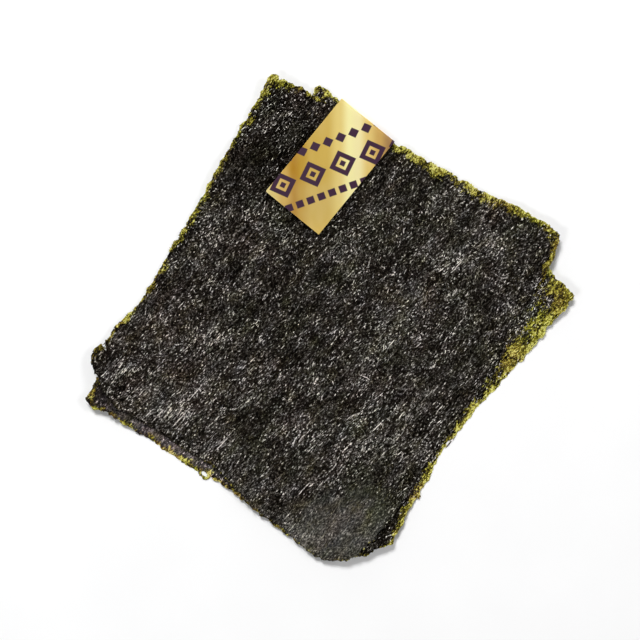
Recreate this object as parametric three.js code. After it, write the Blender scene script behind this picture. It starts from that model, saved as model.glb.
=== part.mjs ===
// Two sheets of roasted nori, one on the other, held along their top edge by a
// folded band of gold foil paper. The pair lies flat, shown side up.
//
// Millimetres, +Z up. The origin is the bottom centre of the whole pair's box.
import * as THREE from 'three';

// ------------------------------------------------------------------ sizes
const SHEET_THICKNESS = 0.4;   // one nori sheet
const PLY_GAP = 0.7;           // least free height between the two sheets
const BAND_LENGTH = 70.0;      // from the fold to the free end of a leaf
const BAND_WIDTH = 39.6;
const BAND_THICKNESS = 0.35;
const BAND_TURN = 230.85;      // degrees, direction from the fold to the free end
const BAND_FOLD = [22.6, 115.0]; // middle of the folded edge
const BAND_EDGE_ROOM = 1.4;    // sheet edges stay this far inside the fold
const BAND_CLEARANCE = 0.42;   // upper leaf above the front sheet, at the fold
const BAND_SPRING = 1.5;       // how much higher the leaf stands at its free end
const BAND_SHEET_HEIGHT = 1.0; // rear sheet above the floor where the band passes under it

// A sheet's outline: the corners in order (clockwise, seen from above). Each has
// the bow of the side that starts there (mm, outward) and the side's own dents
// and bulges: [place along the side 0..1, half width 0..1, height mm].
const FRONT = {
  corners: [
    { at: [-33.6, 142.1], bow: 0.3, marks: [[0.095, 0.03, 0.6], [0.68, 0.04, -0.9], [0.88, 0.085, 2.0]] },
    { at: [133.7, 48.1], bow: 7.4, marks: [[0.09, 0.05, 2.2], [0.27, 0.03, -1.8], [0.375, 0.04, 2.3], [0.85, 0.05, 1.2]] },
    { at: [16.0, -138.3], bow: 3.9, marks: [] },
    { at: [-14.8, -134.3], bow: -1.2, marks: [[0.50, 0.10, -4.2], [0.77, 0.16, -2.3]] },
    { at: [-125.6, -50.2], bow: 0.6, marks: [[0.85, 0.10, 1.0]] },
    { at: [-138.0, -25.5], bow: -3.5, marks: [[0.12, 0.045, 1.8], [0.245, 0.10, -2.4], [0.78, 0.05, 0.9]] },
  ],
  rounding: 1.4,
  seed: 3.1,
};
const REAR = {
  corners: [
    { at: [-5.5, 136.0], bow: 0.7, marks: [[0.065, 0.03, -1.2], [0.885, 0.03, 1.9]] },
    { at: [141.8, 14.2], bow: -6.8, marks: [[0.245, 0.16, 4.5], [0.65, 0.035, -1.6], [0.78, 0.105, 1.5], [0.92, 0.02, 1.2]] },
    { at: [34.2, -131.1], bow: 1.3, marks: [] },
    { at: [18.3, -137.8], bow: 2.8, marks: [[0.035, 0.09, 1.6], [0.40, 0.045, 2.1], [0.77, 0.03, -1.2], [0.925, 0.095, -2.4]] },
    { at: [-137.2, -52.5], bow: 0.3, marks: [] },
    { at: [-141.2, -45.2], bow: 2.1, marks: [[0.10, 0.10, 1.2], [0.82, 0.065, 0.8]] },
  ],
  rounding: 1.2,
  seed: 7.7,
};
const RAGGED = 0.34;           // uneven edge, mm

// How the sheets lie: long soft waves (height, wavelength, heading in degrees,
// phase), cut off level where they meet the floor, and corners that curl up
// (place, height, reach).
const WAVES = [
  [1.7, 124, 52, 0.4],
  [1.2, 88, -21, 2.3],
  [0.8, 67, 101, 4.4],
];
const WAVE_SINK = 0.55;
const REAR_CURLS = [
  [[141.8, 14.2], 4.6, 62],
  [[-141.2, -47.0], 3.4, 56],
  [[30.0, -134.0], 5.0, 58],
  [[-5.5, 136.0], 1.2, 30],
];
const FRONT_CURLS = [
  [[133.7, 48.1], 3.2, 58],
  [[-134.0, -36.0], 2.8, 52],
  [[2.0, -138.0], 1.8, 60],
  [[-33.6, 142.1], 4.2, 48],
];

// Rings of points from the edge to the middle of a sheet: size and count.
const RINGS = [
  [1.0, 288], [0.975, 144], [0.93, 72], [0.85, 72], [0.755, 72], [0.66, 72],
  [0.56, 72], [0.46, 72], [0.36, 72], [0.26, 36], [0.16, 36], [0.07, 18],
];

// ------------------------------------------------------------------ helpers
const rad = (deg) => (deg * Math.PI) / 180;
const clamp01 = (t) => Math.min(1, Math.max(0, t));
const smooth = (a, b, x) => {
  const t = clamp01((x - a) / (b - a));
  return t * t * (3 - 2 * t);
};
const bandDir = new THREE.Vector2(Math.cos(rad(BAND_TURN)), Math.sin(rad(BAND_TURN)));
const bandSide = new THREE.Vector2(bandDir.y, -bandDir.x);
const foldMiddle = new THREE.Vector2(...BAND_FOLD);

// Distance from the folded edge along the band, and sideways from its middle.
function bandPlace(x, y) {
  const p = new THREE.Vector2(x, y).sub(foldMiddle);
  return [p.dot(bandDir), p.dot(bandSide)];
}

// 1 where the band holds the sheets level, falling to 0 around it.
function heldByBand(x, y) {
  const [u, v] = bandPlace(x, y);
  return (1 - smooth(74, 108, u)) * (1 - smooth(22, 52, Math.abs(v)));
}

function curl(list, x, y) {
  let z = 0;
  for (const [[cx, cy], height, reach] of list) {
    const t = clamp01(1 - Math.hypot(x - cx, y - cy) / reach);
    z += height * t * t * (1.6 - 0.6 * t);
  }
  return z;
}

// Height of the rear sheet's underside above the floor.
function rearHeight(x, y) {
  let w = -WAVE_SINK;
  for (const [height, length, heading, phase] of WAVES) {
    const along = x * Math.cos(rad(heading)) + y * Math.sin(rad(heading));
    w += height * Math.sin((2 * Math.PI * along) / length + phase);
  }
  const level = w <= 0 ? 0 : (w * w) / (w + 0.9);
  const held = heldByBand(x, y);
  return (1 - held) * (level + curl(REAR_CURLS, x, y)) + held * BAND_SHEET_HEIGHT;
}

function frontHeight(x, y) {
  return rearHeight(x, y) + SHEET_THICKNESS + PLY_GAP + (1 - heldByBand(x, y)) * curl(FRONT_CURLS, x, y);
}

// ------------------------------------------------------------------ outlines
function outline(spec, count, ragged) {
  const n = spec.corners.length;
  const dense = [];
  const steps = 400;
  for (let i = 0; i < n; i++) {
    const a = new THREE.Vector2(...spec.corners[i].at);
    const b = new THREE.Vector2(...spec.corners[(i + 1) % n].at);
    const along = b.clone().sub(a);
    const out = new THREE.Vector2(-along.y, along.x).normalize();
    for (let k = 0; k < steps; k++) {
      const t = k / steps;
      let off = spec.corners[i].bow * 4 * t * (1 - t);
      for (const [place, half, height] of spec.corners[i].marks) {
        off += height * Math.exp(-0.5 * ((t - place) / half) ** 2) * smooth(0, 0.04, t) * smooth(0, 0.04, 1 - t);
      }
      dense.push(a.clone().addScaledVector(along, t).addScaledVector(out, off));
    }
  }
  const even = resample(dense, 1600);
  const spacing = perimeter(even) / even.length;
  const rounded = blur(even, spec.rounding / spacing);
  const points = resample(rounded, count);
  const total = perimeter(points);
  return points.map((p, i) => {
    const s = (i / count) * total;
    const next = points[(i + 1) % count];
    const last = points[(i + count - 1) % count];
    const out = new THREE.Vector2(-(next.y - last.y), next.x - last.x).normalize();
    const q = p.clone().addScaledVector(out, ragged * uneven(s / total, spec.seed));
    // Room for the band's fold.
    const [u, v] = bandPlace(q.x, q.y);
    const least = BAND_EDGE_ROOM - 8 * smooth(21, 30, Math.abs(v));
    if (u < least && Math.abs(v) < 30) q.addScaledVector(bandDir, least - u);
    return q;
  });
}

function perimeter(points) {
  return points.reduce((sum, p, i) => sum + p.distanceTo(points[(i + 1) % points.length]), 0);
}

function resample(points, count) {
  const total = perimeter(points);
  const out = [];
  let i = 0;
  let walked = 0;
  for (let k = 0; k < count; k++) {
    const want = (k / count) * total;
    let step = points[i].distanceTo(points[(i + 1) % points.length]);
    while (walked + step < want && i < points.length - 1) {
      walked += step;
      i += 1;
      step = points[i].distanceTo(points[(i + 1) % points.length]);
    }
    out.push(points[i].clone().lerp(points[(i + 1) % points.length], step > 0 ? clamp01((want - walked) / step) : 0));
  }
  return out;
}

function blur(points, sigma) {
  const reach = Math.ceil(3 * sigma);
  return points.map((_, i) => {
    const sum = new THREE.Vector2();
    let weight = 0;
    for (let k = -reach; k <= reach; k++) {
      const w = Math.exp(-0.5 * (k / sigma) ** 2);
      sum.addScaledVector(points[(i + k + points.length) % points.length], w);
      weight += w;
    }
    return sum.multiplyScalar(1 / weight);
  });
}

// A closed wavering line: between about -1.5 and 1.5 round the outline.
function uneven(t, seed) {
  let sum = 0;
  for (let k = 1; k <= 9; k++) {
    const turns = 5 + Math.round(k * k * 1.15 + 3 * k);
    sum += Math.sin(2 * Math.PI * turns * t + seed * k * 1.7) * (0.62 / Math.sqrt(k));
  }
  return sum;
}

// ------------------------------------------------------------------ sheets
function sheetGeometry(spec, height) {
  const edge = outline(spec, RINGS[0][1], RAGGED);
  const soft = blur(edge, 2.2);
  const middle = edge.reduce((sum, p) => sum.add(p), new THREE.Vector2()).multiplyScalar(1 / edge.length);
  const flat = []; // ring points and the middle, seen from above
  const starts = [];
  for (const [size, count] of RINGS) {
    starts.push(flat.length);
    const from = size === 1 ? edge : soft;
    for (let j = 0; j < count; j++) {
      const p = from[(j * RINGS[0][1]) / count];
      flat.push(middle.clone().lerp(p, size));
    }
  }
  const centre = flat.length;
  flat.push(middle);

  const faces = []; // seen from above, anticlockwise
  const add = (a, b, c) => {
    const [p, q, r] = [flat[a], flat[b], flat[c]];
    const turn = (q.x - p.x) * (r.y - p.y) - (q.y - p.y) * (r.x - p.x);
    faces.push(turn > 0 ? [a, b, c] : [a, c, b]);
  };
  for (let k = 0; k + 1 < RINGS.length; k++) {
    const outerCount = RINGS[k][1];
    const innerCount = RINGS[k + 1][1];
    const outer = (j) => starts[k] + (j % outerCount);
    const inner = (j) => starts[k + 1] + (j % innerCount);
    for (let j = 0; j < innerCount; j++) {
      if (outerCount === innerCount) {
        add(outer(j), outer(j + 1), inner(j));
        add(outer(j + 1), inner(j + 1), inner(j));
      } else {
        add(outer(2 * j), outer(2 * j + 1), inner(j));
        add(outer(2 * j + 1), inner(j + 1), inner(j));
        add(outer(2 * j + 1), outer(2 * j + 2), inner(j + 1));
      }
    }
  }
  const lastCount = RINGS[RINGS.length - 1][1];
  const lastStart = starts[starts.length - 1];
  for (let j = 0; j < lastCount; j++) add(lastStart + j, lastStart + ((j + 1) % lastCount), centre);

  const position = [];
  for (const lift of [0, SHEET_THICKNESS]) {
    for (const p of flat) position.push(p.x, p.y, height(p.x, p.y) + lift);
  }
  const top = flat.length;
  const index = [];
  for (const [a, b, c] of faces) {
    index.push(top + a, top + b, top + c); // upper side
    index.push(a, c, b); // underside
  }
  // The rim, wound to face outward for an outline that runs clockwise.
  const rim = RINGS[0][1];
  for (let j = 0; j < rim; j++) {
    const a = j;
    const b = (j + 1) % rim;
    index.push(b, a, top + a, b, top + a, top + b);
  }
  const geometry = new THREE.BufferGeometry();
  geometry.setAttribute('position', new THREE.Float32BufferAttribute(position, 3));
  geometry.setIndex(index);
  geometry.computeVertexNormals();
  return geometry;
}

// ------------------------------------------------------------------ band
function bandMesh(material) {
  const half = BAND_THICKNESS / 2;
  const frontTop = BAND_SHEET_HEIGHT + 2 * SHEET_THICKNESS + PLY_GAP;
  const low = half;
  const high = frontTop + BAND_CLEARANCE + half;
  const turn = (high - low) / 2; // radius of the fold's middle line
  const foldCentre = turn + half;
  const middleLine = [];
  const leafSteps = 9;
  for (let k = 0; k <= leafSteps; k++) {
    middleLine.push([BAND_LENGTH - ((BAND_LENGTH - foldCentre) * k) / leafSteps, low]);
  }
  const foldSteps = 8;
  for (let k = 1; k < foldSteps; k++) {
    const a = Math.PI * (k / foldSteps);
    middleLine.push([foldCentre - turn * Math.sin(a), low + turn - turn * Math.cos(a)]);
  }
  for (let k = 0; k <= leafSteps; k++) {
    const t = k / leafSteps;
    const u = foldCentre + (BAND_LENGTH - foldCentre) * t;
    middleLine.push([u, high + BAND_SPRING * t * t * (1.5 - 0.5 * t)]);
  }
  const left = [];
  const right = [];
  middleLine.forEach((p, i) => {
    const a = middleLine[Math.max(0, i - 1)];
    const b = middleLine[Math.min(middleLine.length - 1, i + 1)];
    const n = new THREE.Vector2(-(b[1] - a[1]), b[0] - a[0]).normalize().multiplyScalar(half);
    left.push(new THREE.Vector2(p[0] + n.x, p[1] + n.y));
    right.push(new THREE.Vector2(p[0] - n.x, p[1] - n.y));
  });
  const shape = new THREE.Shape([...left, ...right.reverse()]);
  const geometry = new THREE.ExtrudeGeometry(shape, { depth: BAND_WIDTH, steps: 4, bevelEnabled: false, curveSegments: 1 });
  geometry.translate(0, 0, -BAND_WIDTH / 2);
  const mesh = new THREE.Mesh(geometry, material);
  mesh.name = 'foil_band';
  // Profile x runs along the band, profile y is up, the extrusion runs across it.
  const basis = new THREE.Matrix4().makeBasis(
    new THREE.Vector3(bandDir.x, bandDir.y, 0),
    new THREE.Vector3(0, 0, 1),
    new THREE.Vector3(bandSide.x, bandSide.y, 0),
  );
  mesh.quaternion.setFromRotationMatrix(basis);
  mesh.position.set(foldMiddle.x, foldMiddle.y, 0);
  return mesh;
}

// ------------------------------------------------------------------ model
const noriFront = new THREE.MeshStandardMaterial({ color: 0x2b2a22, roughness: 0.55, metalness: 0.0 });
const noriRear = new THREE.MeshStandardMaterial({ color: 0x34361c, roughness: 0.6, metalness: 0.0 });
const gold = new THREE.MeshStandardMaterial({ color: 0xdcb85e, roughness: 0.3, metalness: 0.85 });

const front = new THREE.Mesh(sheetGeometry(FRONT, frontHeight), noriFront);
front.name = 'sheet_front';
const rear = new THREE.Mesh(sheetGeometry(REAR, rearHeight), noriRear);
rear.name = 'sheet_rear';
const band = bandMesh(gold);

const pair = new THREE.Group();
pair.add(front, rear, band);
pair.updateMatrixWorld(true);
const box = new THREE.Box3().setFromObject(pair, true);
const middle = box.getCenter(new THREE.Vector3());
pair.position.set(-middle.x, -middle.y, -box.min.z);

export default pair;
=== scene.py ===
"""Two roasted nori sheets in a folded gold foil band, lying flat.

Lengths in this file are millimetres in the plan of the part's drawing, and are
turned into metres when a mesh is made.
"""

import math

import bpy
import numpy as np
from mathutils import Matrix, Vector


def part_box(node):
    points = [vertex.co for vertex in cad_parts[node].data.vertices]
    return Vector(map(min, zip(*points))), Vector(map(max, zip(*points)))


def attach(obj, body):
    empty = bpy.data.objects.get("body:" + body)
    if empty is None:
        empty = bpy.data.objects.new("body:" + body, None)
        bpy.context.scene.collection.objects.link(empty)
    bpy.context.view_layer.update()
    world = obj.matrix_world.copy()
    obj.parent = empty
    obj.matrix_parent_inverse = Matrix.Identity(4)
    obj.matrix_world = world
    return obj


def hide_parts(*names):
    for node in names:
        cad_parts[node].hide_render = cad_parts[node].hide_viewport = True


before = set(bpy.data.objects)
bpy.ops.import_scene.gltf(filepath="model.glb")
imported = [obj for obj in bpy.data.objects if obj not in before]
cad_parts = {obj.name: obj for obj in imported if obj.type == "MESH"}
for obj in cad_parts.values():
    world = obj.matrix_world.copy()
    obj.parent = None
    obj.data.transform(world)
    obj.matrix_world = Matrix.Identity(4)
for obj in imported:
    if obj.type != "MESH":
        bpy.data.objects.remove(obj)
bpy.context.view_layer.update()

scene = bpy.context.scene
scene.view_settings.view_transform = "Standard"
scene.view_settings.look = "None"
scene.view_settings.exposure = 0.0
scene.view_settings.gamma = 1.0

# ------------------------------------------------------------------ the plan
SHEET_THICKNESS = 0.4
PLY_GAP = 0.7
BAND_LENGTH = 70.0
BAND_WIDTH = 39.6
BAND_THICKNESS = 0.35
BAND_TURN = math.radians(230.85)
BAND_FOLD = np.array([22.6, 115.0])
BAND_EDGE_ROOM = 1.4
BAND_CLEARANCE = 0.42
BAND_SPRING = 1.5
BAND_SHEET_HEIGHT = 1.0

FRONT = {
    "corners": [
        ([-33.6, 142.1], 0.3, [[0.095, 0.03, 0.6], [0.68, 0.04, -0.9], [0.88, 0.085, 2.0]]),
        ([133.7, 48.1], 7.4, [[0.09, 0.05, 2.2], [0.27, 0.03, -1.8], [0.375, 0.04, 2.3], [0.85, 0.05, 1.2]]),
        ([16.0, -138.3], 3.9, []),
        ([-14.8, -134.3], -1.2, [[0.50, 0.10, -4.2], [0.77, 0.16, -2.3]]),
        ([-125.6, -50.2], 0.6, [[0.85, 0.10, 1.0]]),
        ([-138.0, -25.5], -3.5, [[0.12, 0.045, 1.8], [0.245, 0.10, -2.4], [0.78, 0.05, 0.9]]),
    ],
    "rounding": 1.4,
    "seed": 3.1,
}
REAR = {
    "corners": [
        ([-5.5, 136.0], 0.7, [[0.065, 0.03, -1.2], [0.885, 0.03, 1.9]]),
        ([141.8, 14.2], -6.8, [[0.245, 0.16, 4.5], [0.65, 0.035, -1.6], [0.78, 0.105, 1.5], [0.92, 0.02, 1.2]]),
        ([34.2, -131.1], 1.3, []),
        ([18.3, -137.8], 2.8, [[0.035, 0.09, 1.6], [0.40, 0.045, 2.1], [0.77, 0.03, -1.2], [0.925, 0.095, -2.4]]),
        ([-137.2, -52.5], 0.3, []),
        ([-141.2, -45.2], 2.1, [[0.10, 0.10, 1.2], [0.82, 0.065, 0.8]]),
    ],
    "rounding": 1.2,
    "seed": 7.7,
}
RAGGED = 0.34
WAVES = [[1.7, 124, 52, 0.4], [1.2, 88, -21, 2.3], [0.8, 67, 101, 4.4]]
WAVE_SINK = 0.55
REAR_CURLS = [[[141.8, 14.2], 4.6, 62], [[-141.2, -47.0], 3.4, 56], [[30.0, -134.0], 5.0, 58], [[-5.5, 136.0], 1.2, 30]]
FRONT_CURLS = [[[133.7, 48.1], 3.2, 58], [[-134.0, -36.0], 2.8, 52], [[2.0, -138.0], 1.8, 60], [[-33.6, 142.1], 4.2, 48]]

GRAIN = math.radians(49.0)      # heading of the grain of the seaweed


def pl(px, py):
    """A place named by its pixel in the front view, in the drawing."""
    return (px - 329.5) * 0.58, (318.0 - py) * 0.58


def smooth(a, b, x):
    t = np.clip((x - a) / (b - a), 0.0, 1.0)
    return t * t * (3 - 2 * t)


BAND_DIR = np.array([math.cos(BAND_TURN), math.sin(BAND_TURN)])
BAND_SIDE = np.array([BAND_DIR[1], -BAND_DIR[0]])

corners = [BAND_FOLD + BAND_SIDE * s * BAND_WIDTH / 2 + BAND_DIR * d for s in (-1, 1) for d in (0, BAND_LENGTH)]
low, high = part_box("foil_band")
SHIFT = np.array([
    (low.x + high.x) * 500 - (min(c[0] for c in corners) + max(c[0] for c in corners)) / 2,
    (low.y + high.y) * 500 - (min(c[1] for c in corners) + max(c[1] for c in corners)) / 2,
])


def band_place(x, y):
    dx, dy = x - BAND_FOLD[0], y - BAND_FOLD[1]
    return dx * BAND_DIR[0] + dy * BAND_DIR[1], dx * BAND_SIDE[0] + dy * BAND_SIDE[1]


def held_by_band(x, y):
    u, v = band_place(x, y)
    return (1 - smooth(74, 108, u)) * (1 - smooth(22, 52, np.abs(v)))


def curl(curls, x, y):
    z = np.zeros_like(x)
    for (cx, cy), height, reach in curls:
        t = np.clip(1 - np.hypot(x - cx, y - cy) / reach, 0, 1)
        z += height * t * t * (1.6 - 0.6 * t)
    return z


def rear_height(x, y):
    """Underside of the rear sheet above the floor."""
    w = np.full_like(x, -WAVE_SINK)
    for height, length, heading, phase in WAVES:
        along = x * math.cos(math.radians(heading)) + y * math.sin(math.radians(heading))
        w += height * np.sin(2 * math.pi * along / length + phase)
    level = np.where(w <= 0, 0, w * w / np.maximum(w + 0.9, 1e-6))
    held = held_by_band(x, y)
    return (1 - held) * (level + curl(REAR_CURLS, x, y)) + held * BAND_SHEET_HEIGHT


def front_height(x, y):
    return rear_height(x, y) + SHEET_THICKNESS + PLY_GAP + (1 - held_by_band(x, y)) * curl(FRONT_CURLS, x, y)


# ------------------------------------------------------------------ outlines
def perimeter(p):
    return np.hypot(*(np.roll(p, -1, 0) - p).T).sum()


def resample(p, count):
    closed = np.vstack([p, p[:1]])
    walked = np.concatenate([[0], np.cumsum(np.hypot(*np.diff(closed, axis=0).T))])
    want = np.arange(count) / count * walked[-1]
    return np.stack([np.interp(want, walked, closed[:, k]) for k in (0, 1)], 1)


def blur_loop(p, sigma):
    reach = math.ceil(3 * sigma)
    out, weight = np.zeros_like(p), 0.0
    for k in range(-reach, reach + 1):
        w = math.exp(-0.5 * (k / sigma) ** 2)
        out += w * np.roll(p, -k, 0)
        weight += w
    return out / weight


def uneven(t, seed):
    total = np.zeros_like(t)
    for k in range(1, 10):
        turns = 5 + math.floor(k * k * 1.15 + 3 * k + 0.5)
        total += np.sin(2 * math.pi * turns * t + seed * k * 1.7) * (0.62 / math.sqrt(k))
    return total


def outline(spec, count):
    dense = []
    n = len(spec["corners"])
    t = np.arange(400) / 400
    for i in range(n):
        at, bow, marks = spec["corners"][i]
        a, b = np.array(at), np.array(spec["corners"][(i + 1) % n][0])
        along = b - a
        out = np.array([-along[1], along[0]]) / np.hypot(*along)
        off = bow * 4 * t * (1 - t)
        for place, half, height in marks:
            off = off + height * np.exp(-0.5 * ((t - place) / half) ** 2) * smooth(0, 0.04, t) * smooth(0, 0.04, 1 - t)
        dense.append(a + along * t[:, None] + out * off[:, None])
    even = resample(np.vstack(dense), 1600)
    rounded = blur_loop(even, spec["rounding"] / (perimeter(even) / 1600))
    points = resample(rounded, count)
    ahead, behind = np.roll(points, -1, 0), np.roll(points, 1, 0)
    out = np.stack([-(ahead - behind)[:, 1], (ahead - behind)[:, 0]], 1)
    out /= np.hypot(*out.T)[:, None]
    q = points + out * (RAGGED * uneven(np.arange(count) / count, spec["seed"]))[:, None]
    u, v = band_place(q[:, 0], q[:, 1])
    least = BAND_EDGE_ROOM - 8 * smooth(21, 30, np.abs(v))
    need = (u < least) & (np.abs(v) < 30)
    q[need] += BAND_DIR * (least - u)[need, None]
    return q


class Shape:
    """Distance inside an outline, positive inside, on a 1 mm raster."""

    def __init__(self, loop):
        self.loop = loop
        axis = np.arange(-152, 153, 1.0)
        x, y = np.meshgrid(axis, axis)
        pts = np.stack([x.ravel(), y.ravel()], 1)
        nearest = np.empty(len(pts), int)
        px, py = loop[:, 0].astype(np.float32), loop[:, 1].astype(np.float32)
        for s in range(0, len(pts), 4000):
            c = pts[s:s + 4000].astype(np.float32)
            nearest[s:s + 4000] = ((c[:, :1] - px) ** 2 + (c[:, 1:] - py) ** 2).argmin(1)
        best = np.full(len(pts), 1e9)
        m = len(loop)
        for other in (1, -1):
            a, b = loop[nearest], loop[(nearest + other) % m]
            ab = b - a
            t = np.clip(((pts - a) * ab).sum(1) / (ab * ab).sum(1), 0, 1)
            best = np.minimum(best, np.hypot(*(pts - a - ab * t[:, None]).T))
        inside = np.zeros(x.shape, bool)
        a, b = loop, np.roll(loop, -1, 0)
        for r, yy in enumerate(axis + 1e-4):
            cut = (a[:, 1] > yy) != (b[:, 1] > yy)
            xs = np.sort(a[cut, 0] + (yy - a[cut, 1]) / (b[cut, 1] - a[cut, 1]) * (b[cut, 0] - a[cut, 0]))
            inside[r] = np.searchsorted(xs, axis) % 2 == 1
        self.d = np.where(inside, 1, -1) * best.reshape(x.shape)

    def __call__(self, x, y):
        return raster(self.d, 1.0, 152.0, x, y)


def raster(grid, step, half, x, y):
    """Bilinear look-up."""
    n = grid.shape[0]
    fx = np.clip((np.asarray(x) + half) / step, 0, n - 1.001)
    fy = np.clip((np.asarray(y) + half) / step, 0, n - 1.001)
    ix, iy = fx.astype(int), fy.astype(int)
    tx, ty = fx - ix, fy - iy
    return (grid[iy, ix] * (1 - tx) + grid[iy, ix + 1] * tx) * (1 - ty) + (grid[iy + 1, ix] * (1 - tx) + grid[iy + 1, ix + 1] * tx) * ty


class Field:
    """Seeded smooth noise of unit spread. The sizes are those of its features, mm."""

    def __init__(self, seed, across, along=None, turn=GRAIN, step=0.5):
        along = across if along is None else along
        self.step, self.half = step, 154.0
        n = int(2 * self.half / step)
        f = np.fft.rfft2(np.random.default_rng(seed).standard_normal((n, n)))
        fy, fx = np.fft.fftfreq(n, step)[:, None], np.fft.rfftfreq(n, step)[None, :]
        fa, fb = fx * math.cos(turn) + fy * math.sin(turn), -fx * math.sin(turn) + fy * math.cos(turn)
        # A feature's full width at half height is about 1.67 sigma of the kernel.
        f *= np.exp(-2 * math.pi ** 2 * ((fa * along / 3.3) ** 2 + (fb * across / 3.3) ** 2))
        g = np.fft.irfft2(f, s=(n, n))
        self.g = (g - g.mean()) / g.std()

    def __call__(self, x, y):
        return raster(self.g, self.step, self.half, x, y)


# ------------------------------------------------------------------ fringe
# The pale green fringe along the edges: place (px, py), width in mm, and how much it glows.
FRONT_FRINGE = [
    (273, 74, 5.8, 0.38), (285, 84, 5.8, 0.36), (300, 95, 5.2, 0.28), (255, 100, 2.8, 0.38), (235, 145, 2.4, 0.38),
    (200, 205, 2.4, 0.38), (165, 255, 2.6, 0.38), (130, 310, 2.8, 0.38), (108, 340, 1.8, 0.36), (98, 352, 0.7, 0.28),
    (92, 362, 0.5, 0.2), (97, 378, 0.6, 0.2), (130, 405, 0.6, 0.2), (170, 435, 0.7, 0.2), (215, 480, 0.8, 0.3),
    (240, 495, 1.1, 0.3), (262, 515, 1.5, 0.3), (285, 535, 1.3, 0.3), (305, 550, 0.9, 0.3), (330, 557, 0.5, 0.25),
    (352, 552, 1.2, 0.34), (365, 540, 0.6, 0.3), (382, 510, 0.3, 0.3), (400, 480, 0.3, 0.3), (425, 445, 0.3, 0.3), (450, 410, 0.3, 0.3),
    (475, 375, 0.3, 0.3), (500, 340, 0.3, 0.3), (520, 312, 0.3, 0.3), (538, 286, 0.3, 0.3), (549, 262, 3.6, 0.30), (556, 245, 5.4, 0.30), (551, 230, 4.6, 0.34), (530, 215, 3.4, 0.42),
    (505, 203, 4.8, 0.52), (480, 192, 5.2, 0.52), (460, 178, 4.6, 0.51), (440, 165, 4.8, 0.50), (420, 150, 4.4, 0.50),
    (404, 143, 3.0, 0.5), (380, 130, 2.0, 0.45), (330, 105, 0.3, 0.36), (316, 100, 0.3, 0.36), (309, 97, 1.2, 0.34),
]
REAR_FRINGE = [
    (320, 85, 6.0, 0.44), (310, 93, 4.0, 0.38), (336, 97, 5.4, 0.44), (370, 115, 3.0, 0.45), (420, 150, 3.0, 0.45),
    (556, 275, 10.0, 0.42), (572, 292, 15.0, 0.31), (562, 308, 16.0, 0.49), (548, 325, 16.5, 0.50), (535, 342, 16.0, 0.50),
    (520, 362, 14.0, 0.38), (505, 382, 9.0, 0.43), (490, 402, 6.0, 0.44), (470, 425, 5.4, 0.43), (450, 450, 5.2, 0.42),
    (420, 490, 4.6, 0.39), (400, 515, 2.8, 0.35), (385, 540, 2.0, 0.36), (370, 553, 1.2, 0.30), (345, 556, 0.5, 0.30),
    (300, 535, 2.4, 0.34), (255, 508, 2.8, 0.32), (225, 487, 3.0, 0.32), (200, 468, 3.6, 0.30), (170, 448, 3.2, 0.27),
    (150, 436, 3.0, 0.27), (125, 420, 3.0, 0.27), (100, 408, 3.4, 0.28), (86, 396, 5.6, 0.34), (90, 385, 3.0, 0.30), (110, 330, 2.5, 0.34),
]


def fringe_at(anchors, x, y, spread=9.0):
    """Width and glow of the fringe."""
    w, glow = np.zeros_like(x), np.zeros_like(x)
    total = np.full_like(x, 1e-12)
    for px, py, width, shine in anchors:
        ax, ay = pl(px, py)
        k = np.exp(-0.5 * ((x - ax) ** 2 + (y - ay) ** 2) / spread ** 2)
        w += k * width
        glow += k * shine
        total += k
    return w / total, glow / total


def spots(places, x, y):
    """Sum of soft round patches: (px, py, radius mm, strength)."""
    out = np.zeros_like(x)
    for px, py, r, s in places:
        ax, ay = pl(px, py)
        out += s * np.exp(-0.5 * ((x - ax) ** 2 + (y - ay) ** 2) / r ** 2)
    return out


# ------------------------------------------------------------------ noise
N_RIDGE = Field(11, 2.6, 7.0)
N_RIDGE_B = Field(12, 1.7, 3.6, GRAIN + 0.35)
N_RIDGE_C = Field(13, 2.2, 5.0, GRAIN - 0.45)
N_LUMP = Field(14, 9.0, 15.0)
N_PATCH = Field(15, 26.0, 34.0)
N_HUE = Field(16, 15.0, 18.0)
N_EDGE_A = Field(17, 4.2, 4.2)
N_EDGE_B = Field(18, 1.9, 2.3)
N_HOLE = Field(19, 1.6, 2.0)
N_FRINGE = Field(20, 5.0, 6.0)
N_DENS = Field(21, 5.0, 7.5)
N_BLOTCH = Field(22, 10.0, 14.0)
N_MOTTLE = Field(23, 2.0, 4.0)
N_TURN = Field(24, 12.0, 14.0)
N_CHUNK = Field(25, 3.0, 3.4)
N_HAZE = Field(26, 6.0, 10.0)
N_LINE = Field(27, 1.15, 10.0)
N_LIVELY = Field(28, 9.0, 12.0)


def offset(field, dx, dy):
    return lambda x, y: field(np.mod(x + dx + 150, 300) - 150, np.mod(y + dy + 150, 300) - 150)


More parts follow.
